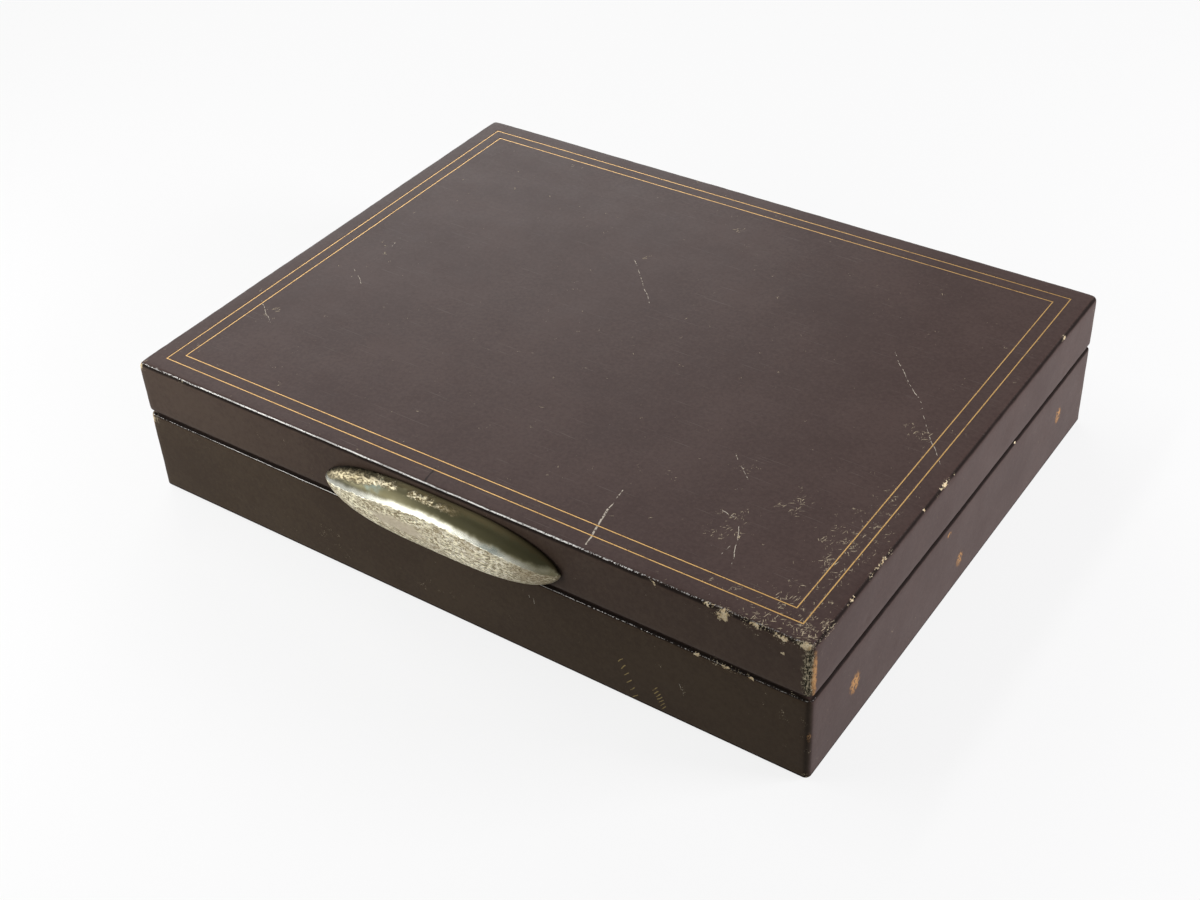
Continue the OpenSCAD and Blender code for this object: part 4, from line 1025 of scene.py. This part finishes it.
def outline_piece(name, outlines, axis, spans, radius, material, node, replaces=True):
    """Closed outlines pushed out along an axis, 0 for X, 1 for Y or 2 for Z, with rounded edges."""
    work = bmesh.new()
    for outline, span in zip(outlines, spans):
        start, end = ([work.verts.new(np.insert(np.array(point, float), axis, place)) for point in outline]
                      for place in span)
        faces = [work.faces.new(corners) for corners in (*band(end, start), start, end)]
        bmesh.ops.recalc_face_normals(work, faces=faces)
    sharp = [edge for edge in work.edges if edge.is_manifold and edge.calc_face_angle(0) > math.radians(30)]
    bmesh.ops.bevel(work, geom=sharp, offset=radius, segments=3, profile=0.5, affect="EDGES",
                    clamp_overlap=True)
    mesh = bpy.data.meshes.new(name)
    work.to_mesh(mesh)
    work.free()
    return adopt(mesh, name, material, node, sharp=32, replaces=replaces)


def blocks(name, boxes, radius, material, node, replaces=True):
    """Separate boards or slabs with softened edges, each between its lowest and highest corner."""
    outlines = [[(lo[0], lo[1]), (hi[0], lo[1]), (hi[0], hi[1]), (lo[0], hi[1])] for lo, hi in boxes]
    spans = [(lo[2], hi[2]) for lo, hi in boxes]
    return outline_piece(name, outlines, 2, spans, radius, material, node, replaces)


def arc(centre_u, centre_v, radius, start_deg, end_deg, steps):
    angles = np.radians(np.linspace(start_deg, end_deg, steps + 1))
    return [(centre_u + radius * math.cos(a), centre_v + radius * math.sin(a)) for a in angles]


def long_divider(node, material):
    """A divider with a finger notch beside each upper well."""
    low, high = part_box(node)
    places = {round(float(lo[1] + hi[1]) / 2, 5) for lo, hi in solids_of("well_risers")}
    outline = [(low.y, low.z), (high.y, low.z), (high.y, high.z)]
    for place in sorted(places, reverse=True):
        outline += arc(place, high.z, 11 * MM, 0, -180, 20)
    outline.append((low.y, high.z))
    outline_piece("covered_" + node, [outline], 0, [(low.x, high.x)], 0.5 * MM, material, node)


def rack(material):
    """The block with four half-round channels."""
    low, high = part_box("counter_rack")
    play, lift = 0.4 * MM, 0.35 * MM
    outline = [(high.x, high.z), (high.x, low.z), (low.x, low.z), (low.x, high.z)]
    rows = [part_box(colour + "_counters") for colour in COUNTER_TONES]
    for lo, hi in sorted(rows, key=lambda box: box[0].x):
        radius = (hi.x - lo.x) / 2 + play
        centre_z = (lo.z + hi.z) / 2 + lift
        dip = math.degrees(math.asin((centre_z - high.z) / radius))
        outline += arc((lo.x + hi.x) / 2, centre_z, radius, 180 + dip, 360 - dip, 28)
    outline_piece("covered_counter_rack", [outline], 1, [(low.y, high.y)], 0.5 * MM, material, "counter_rack")


def lathe(profile, segments):
    """Points and faces of a profile of (radius, height) turned about the Y axis; its ends lie on the axis."""
    points, faces, rings = [], [], []
    for radius, height in profile:
        start = len(points)
        if radius < 1e-9:
            points.append((0, height, 0))
            rings.append([start] * segments)
        else:
            points += [(x, height, z) for x, z in arc(0, 0, radius, 0, 360, segments)[:-1]]
            rings.append(range(start, start + segments))
    for before, after in zip(rings, rings[1:]):
        faces += band(after, before)
    return points, faces


def placed_copies(name, shape, places, material, node, sharp=35, replaces=True):
    """One piece that holds a copy of a shape at each place, each with its own turn."""
    points, faces = shape
    all_points = [tuple(place @ Vector(point)) for place in places for point in points]
    all_faces = [[k * len(points) + v for v in face] for k in range(len(places)) for face in faces]
    make_piece(name, all_points, all_faces, material, node, sharp=sharp, replaces=replaces)


def counters(colour, material):
    """A row of turned counters: rounded rims and a sunk ring on each face."""
    node = colour + "_counters"
    boxes = solids_of(node)
    lo, hi = boxes[0]
    radius, thick = (hi[0] - lo[0]) / 2, hi[1] - lo[1]
    sunk = 0.3 * MM
    half = [(0, 0), (0.62 * radius, 0), (0.64 * radius, sunk), (0.80 * radius, sunk), (0.82 * radius, 0),
            (radius - 0.55 * MM, 0), (radius - 0.16 * MM, 0.16 * MM), (radius, 0.6 * MM)]
    profile = half + [(r, thick - h) for r, h in reversed(half)]
    rng = np.random.default_rng(len(colour))
    places = []
    for lo, hi in boxes:
        middle = ((lo[0] + hi[0]) / 2, lo[1], (lo[2] + hi[2]) / 2)
        places.append(Matrix.Translation(middle) @ Matrix.Rotation(rng.uniform(0, TAU), 4, "Y"))
    placed_copies("turned_" + node, lathe(profile, TURNED_STEPS), places, material, node)


def round_outline(low, high, radius, steps):
    """A rectangle with rounded corners, between the lowest and highest corner of a box."""
    corners = [(high[0] - radius, high[1] - radius, 0), (low[0] + radius, high[1] - radius, 90),
               (low[0] + radius, low[1] + radius, 180), (high[0] - radius, low[1] + radius, 270)]
    return [point for x, y, start in corners for point in arc(x, y, radius, start, start + 90, steps)]


def sheet_stack(low_z, high_z, outlines, fill):
    """Points and faces of separate sheets, each of which fills a share of its pitch."""
    pitch = (high_z - low_z) / len(outlines)
    points, faces = [], []
    for k, outline in enumerate(outlines):
        a, n = len(points), len(outline)
        bottom = low_z + k * pitch
        top = high_z if k == len(outlines) - 1 else bottom + fill * pitch
        points += [(x, y, z) for z in (bottom, top) for x, y in outline]
        lower, upper = list(range(a, a + n)), list(range(a + n, a + 2 * n))
        faces += [*band(upper, lower), lower[::-1], upper]
    return points, faces


def card_pack(node, material, seed):
    """Fifty-two separate cards, not quite squared up."""
    low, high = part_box(node)
    rng = np.random.default_rng(seed)
    slack = 0.25 * MM
    inset = Vector((slack, slack, 0))
    outline = np.array(round_outline(low + inset, high - inset, 3 * MM, 5))
    outlines = [outline + rng.uniform(-slack, slack, 2) * 0.9 for _ in range(52)]
    make_piece("loose_" + node, *sheet_stack(low.z, high.z, outlines, 0.86), material, node, smooth=False)


def plaques(node, material):
    """A stack of plaques with rounded edges."""
    boxes = sorted(solids_of(node), key=lambda box: box[0][2])
    outlines = [round_outline(lo, hi, 5 * MM, 8) for lo, hi in boxes]
    spans = [(lo[2], hi[2]) for lo, hi in boxes]
    outline_piece("edged_" + node, outlines, 2, spans, 0.55 * MM, material, node)


DICE_TURNS = (4, -3, 6, -5, 3)
FACE_TURNS = ((0, 0, 0), (90, 0, 0), (0, 90, 0), (0, -90, 0), (-90, 0, 0), (180, 0, 0))
CENTRE, SLANT, MIDDLE_ROW = [(0, 0)], [(-1, 1), (1, -1)], [(-1, 0), (1, 0)]
FOUR = SLANT + [(-1, -1), (1, 1)]
PIPS = (CENTRE, SLANT, CENTRE + SLANT, FOUR, CENTRE + FOUR, FOUR + MIDDLE_ROW)
PIP_R = 1.1 * MM


def turn_matrix(degrees):
    """The turn about X, then Y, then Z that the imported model's faces have."""
    return Euler([math.radians(d) for d in degrees]).to_matrix().to_4x4()


def dice(body_material, pip_material):
    """Rounded dice with inlaid pips."""
    boxes = sorted(solids_of("dice"), key=lambda box: (round(box[0][1] / 8 / MM), box[0][0]))
    edge = float(boxes[0][1][2] - boxes[0][0][2])
    work = bmesh.new()
    bmesh.ops.create_cube(work, size=edge)
    bmesh.ops.bevel(work, geom=list(work.edges), offset=1.5 * MM, segments=5, profile=0.5, affect="EDGES")
    work.verts.index_update()
    die = [tuple(v.co) for v in work.verts], [[v.index for v in f.verts] for f in work.faces]
    work.free()
    points, faces = [], []
    for turn, spots in zip(FACE_TURNS, PIPS):
        for u, v in spots:
            start = len(points)
            for radius, height in ((PIP_R, 0.005 * MM), (0.92 * PIP_R, 0.03 * MM)):
                ring = arc(u * edge / 4, v * edge / 4, radius, 0, 360, PIP_STEPS)[:-1]
                points += [turn_matrix(turn) @ Vector((x, y, edge / 2 + height)) for x, y in ring]
            outer, inner = range(start, start + PIP_STEPS), range(start + PIP_STEPS, start + 2 * PIP_STEPS)
            faces += [*band(inner, outer), list(inner)]
    places = []
    for (lo, hi), turn, show in zip(boxes, DICE_TURNS, FACE_TURNS):
        shown = turn_matrix([-angle for angle in show])
        places.append(Matrix.Translation((lo + hi) / 2) @ Matrix.Rotation(math.radians(turn), 4, "Z") @ shown)
    placed_copies("rounded_dice", die, places, body_material, "dice", 40)
    placed_copies("dice_pips", (points, faces), places, pip_material, "dice", 40, False)


def score_pad(paper_material, leather_material):
    """A board with a block of thin sheets, bound by a strip of leather at the back."""
    blocks("bound_pad_board", [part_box("score_pad_board")], 0.4 * MM, leather_material, "score_pad_board")
    low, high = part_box("score_pad_sheets")
    sheet_count, strip_w, tucked_in = 28, 5 * MM, 0.4 * MM
    rng = np.random.default_rng(8)
    outlines = []
    for _ in range(sheet_count):
        front, left = rng.uniform(0, 0.35, 2) * MM
        x0, x1, y0, y1 = low.x + left, high.x - left, low.y + front, high.y - tucked_in
        outlines.append([(x0, y0), (x1, y0), (x1, y1), (x0, y1)])
    stack = sheet_stack(low.z, high.z, outlines, 0.8)
    make_piece("loose_pad_sheets", *stack, paper_material, "score_pad_sheets", smooth=False)
    strip = (Vector((low.x, high.y - strip_w, low.z)), high)
    blocks("pad_spine", [strip], 0.3 * MM, leather_material, "score_pad_board", False)


def pencil(lacquer, cap_metal):
    """A round pencil with a ribbed cap."""
    low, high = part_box("pencil")
    radius, point_l = (high.x - low.x) / 2, 12 * MM
    place = [Matrix.Translation(((low.x + high.x) / 2, 0, (low.z + high.z) / 2))]
    profile = [(0, low.y), (0.35 * MM, low.y + 0.1 * MM), (radius - 0.05 * MM, low.y + point_l - 0.2 * MM),
               (radius, low.y + point_l + 0.2 * MM), (radius, high.y), (0, high.y)]
    placed_copies("lacquered_pencil", lathe(profile[::-1], PENCIL_STEPS), place, lacquer, "pencil", 30)
    low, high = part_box("pencil_cap")
    rib = 0.25 * MM
    profile = [(0, low.y), (radius, low.y)]
    for k in range(3):
        start = low.y + (0.12 + 0.1 * k) * (high.y - low.y)
        profile += [(radius, start), (radius - rib, start + rib), (radius - rib, start + 2 * rib),
                    (radius, start + 3 * rib)]
    profile += [(radius, high.y - 1.6 * MM), (radius - 0.5 * MM, high.y - 0.5 * MM),
                (radius - 1.6 * MM, high.y), (0, high.y)]
    placed_copies("ribbed_cap", lathe(profile[::-1], PENCIL_STEPS), place, cap_metal, "pencil_cap", 30)


def ceiling_pad(material):
    """A thin pad under the lid's panel: full in the middle and drawn in along its edges."""
    low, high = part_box("lid_ceiling_pad")
    columns, rows = 150, 118
    x, y = np.meshgrid(np.linspace(low.x, high.x, columns), np.linspace(low.y, high.y, rows))
    inset = np.minimum(np.minimum(x - low.x, high.x - x), np.minimum(y - low.y, high.y - y)).ravel()
    full = smooth_step(inset, 0, 9 * MM)
    under = np.column_stack([x.ravel(), y.ravel(), np.zeros(x.size)])
    pucker = 0.12 * MM * (1 + waves(under, 24 * MM, 21))
    thick = (high.z - low.z) * (0.45 + 0.55 * full) - pucker * full
    under[:, 2] = high.z - np.maximum(thick, 0.2 * MM)
    index = np.arange(x.size).reshape(rows, columns)
    border = [int(v) for v in (*index[0], *index[1:, -1], *index[-1, -2::-1], *index[-2:0:-1, 0])]
    upper = under[border] * (1, 1, 0) + (0, 0, high.z)
    top = list(range(x.size, x.size + len(border)))
    faces = [[a, d, c, b] for a, b, c, d in grid_faces(rows, columns)] + band(top, border) + [top]
    points = np.concatenate([under, upper])
    piece = make_piece("crowned_ceiling_pad", points, faces, material, "lid_ceiling_pad", sharp=50)


def foot_sheet(material):
    """The baize glued under the base, with a soft cut edge."""
    low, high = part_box("base_foot_sheet")
    piece = blocks("baize_foot_sheet", [(low, high)], 0.3 * MM, material, "base_foot_sheet")


def repaint(material, *words):
    """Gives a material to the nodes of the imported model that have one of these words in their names."""
    for name, node in frame["nodes"].items():
        if any(word in name for word in words):
            node.data.materials.clear()
            node.data.materials.append(material)


# The object

lid_skin(leather("lid_calf", lid_low.z, lid_high.z, 0.40, 0.36, LID_FRONT_BROWN_AS_LIT, LID_WEAR))
base_skin(leather("base_calf", base_low.z, base_high.z, 1.0, 0.24, BASE_FRONT_BROWN_AS_LIT, BASE_WEAR))
gilding = gold("worn_gold_leaf")
gilt_line("outer_gilding", LINE_INSETS[0], "outer_gilt_line", gilding)
gilt_line("inner_gilding", LINE_INSETS[1], "inner_gilt_line", gilding)
thumb_plate(silver("tarnished_plate"))

red_suede = suede("wine_red_suede", (0.075, 0.006, 0.010), (0.155, 0.014, 0.020))
BASE_LININGS, LID_LININGS = ([f"{body}_{side}_lining" for side in ("front", "rear", "left", "right")]
                             for body in ("base", "lid"))
for node in (*BASE_LININGS, "floor_lining", "left_cross_dividers", "right_cross_dividers",
             "centre_cross_divider", "well_risers", *LID_LININGS):
    edge_r = 0.35 * MM if node.endswith("lining") else 0.6 * MM
    blocks("covered_" + node, solids_of(node), edge_r, red_suede, node)
COUNTER_TONES = {
    "red": ((0.33, 0.012, 0.010), (0.44, 0.035, 0.020)),
    "ivory": ((0.72, 0.60, 0.38), (0.80, 0.71, 0.52)),
    "green": ((0.008, 0.085, 0.035), (0.020, 0.150, 0.070)),
    "black": ((0.010, 0.009, 0.009), (0.022, 0.019, 0.017)),
}
for node in ("left_long_divider", "right_long_divider"):
    long_divider(node, red_suede)
rack(red_suede)
ceiling_pad(red_suede)
foot_sheet(suede("green_baize", (0.018, 0.055, 0.030), (0.035, 0.095, 0.050), 0.5))

for colour, tones in COUNTER_TONES.items():
    counters(colour, polished(colour + "_cast", *tones))
card_pack("rear_card_pack", card_back("red_lattice", "rear_card_pack", (0.42, 0.025, 0.025)), 5)
card_pack("front_card_pack", card_back("blue_lattice", "front_card_pack", (0.03, 0.07, 0.30)), 6)
plaques("rear_plaques", polished("pearl_cast", (0.74, 0.64, 0.44), (0.82, 0.76, 0.62)))
plaques("front_plaques", tortoiseshell("tortoiseshell_cast"))
dice(polished("ivory_dice", (0.76, 0.68, 0.50), (0.82, 0.76, 0.62)),
     polished("pip_ink", (0.012, 0.011, 0.010), (0.02, 0.02, 0.02)))
score_pad(paper("ruled_paper", "score_pad_sheets"),
          plain_leather("pad_book_leather", (0.045, 0.010, 0.010), (0.085, 0.020, 0.018)))
brass = metal("old_brass", (0.72, 0.52, 0.22), (0.34, 0.22, 0.09))
pencil(pencil_lacquer("green_lacquer"), brass)
repaint(brass, "hinge", "leaf_screws")
repaint(metal("turned_steel", (0.52, 0.52, 0.53), (0.28, 0.27, 0.26), 0.32), "thumb_studs", "thumb_nuts")
repaint(wood("pine", (0.34, 0.21, 0.11), (0.22, 0.125, 0.06)), "_wall", "base_bottom_panel", "lid_top_panel")
repaint(plain_leather("grey_card", (0.36, 0.31, 0.24), (0.44, 0.39, 0.31)), "base_infill_card")


# Camera at the photograph's angle, stage and light

CAMERA_PLACE = Vector((346.6, -491.3, 473.4)) * MM
CAMERA_TURNS_DEG = (36.286, 38.106, -3.159)
FOCAL_PX, FRAME_W_PX, SENSOR_W = 1729.1, 1200, 36


def aim_camera():
    """Places the camera by its azimuth, elevation and roll."""
    azimuth, elevation, roll = (math.radians(degrees) for degrees in CAMERA_TURNS_DEG)
    level = Vector((math.cos(azimuth), math.sin(azimuth), 0))
    ahead = Vector((-math.sin(azimuth), math.cos(azimuth), 0))
    forward = math.cos(elevation) * ahead - Vector((0, 0, math.sin(elevation)))
    upright = level.cross(forward)
    right = math.cos(roll) * level + math.sin(roll) * upright
    up = math.cos(roll) * upright - math.sin(roll) * level
    camera = add_object("camera", bpy.data.cameras.new("camera"))
    camera.data.sensor_width = SENSOR_W
    camera.data.lens = SENSOR_W * FOCAL_PX / FRAME_W_PX
    camera.data.clip_start = 0.01
    turned = Matrix((right, up, -forward)).transposed().to_4x4()
    camera.matrix_world = Matrix.Translation(CAMERA_PLACE) @ turned
    bpy.context.scene.camera = camera


def soft_lamp(name, place, target, size, power, tint=(1, 1, 1)):
    lamp = bpy.data.lights.new(name, "AREA")
    lamp.shape = "RECTANGLE"
    lamp.size, lamp.size_y = size
    lamp.energy = power
    lamp.color = tint
    piece = add_object(name, lamp)
    piece.location = place
    piece.rotation_mode = "QUATERNION"
    piece.rotation_quaternion = (Vector(target) - Vector(place)).to_track_quat("-Z", "Y")


def white_floor():
    """A floor that shows as white, and throws only a little light back on the object."""
    mesh = bpy.data.meshes.new("floor")
    reach, below = 6, 0.2 * MM
    corners = ((-reach, -reach, 0), (reach, -reach, 0), (reach, reach, 0), (-reach, reach, 0))
    mesh.from_pydata(corners, [], [range(4)])
    floor = add_object("floor", mesh)
    floor.location.z = -below
    paint = Paint("white_floor")
    lit = paint.node("ShaderNodeBsdfDiffuse", {"Color": (0.12,) * 3})
    glow = paint.node("ShaderNodeEmission", {"Color": (0.83,) * 3})
    shown = paint.node("ShaderNodeAddShader", {0: lit, 1: glow})
    plain = paint.node("ShaderNodeBsdfDiffuse", {"Color": (0.20,) * 3})
    chosen = paint.node("ShaderNodeMixShader", {0: paint.seen_rays(), 1: plain, 2: shown})
    paint.put(paint.nodes["Material Output"].inputs["Surface"], chosen)
    paint.nodes.remove(paint.nodes["Principled BSDF"])
    mesh.materials.append(paint.owner)


def white_world():
    """White where it is seen, and dim where it only lights the object."""
    paint = Paint("studio", bpy.data.worlds)
    background = paint.nodes["Background"]
    paint.put(background.inputs["Color"], paint.seen_rays().mix((0.14,) * 3, (0.97,) * 3))
    background.inputs["Strength"].default_value = 1
    bpy.context.scene.world = paint.owner


aim_camera()
white_floor()
white_world()
soft_lamp("back_softbox", (-1.2, 1.25, 0.85), (0, 0, 0.05), (1.2, 0.7), 15)
soft_lamp("overhead_strip", (-0.55, -0.1, 1.15), (0, 0, 0.05), (1.0, 0.08), 6.2)
soft_lamp("right_softbox", (1.0, 0.42, 0.36), (0, 0, 0.05), (0.5, 0.5), 16, (1, 0.98, 1.02))
soft_lamp("front_softbox", (-0.52, -1.18, 0.25), (0, 0, 0.05), (1.25, 0.16), 2.0)
soft_lamp("left_softbox", (-0.38, -0.35, 0.17), (-0.1, -0.1, 0.04), (0.5, 0.3), 1.75)
bpy.context.scene.view_settings.view_transform = "Standard"
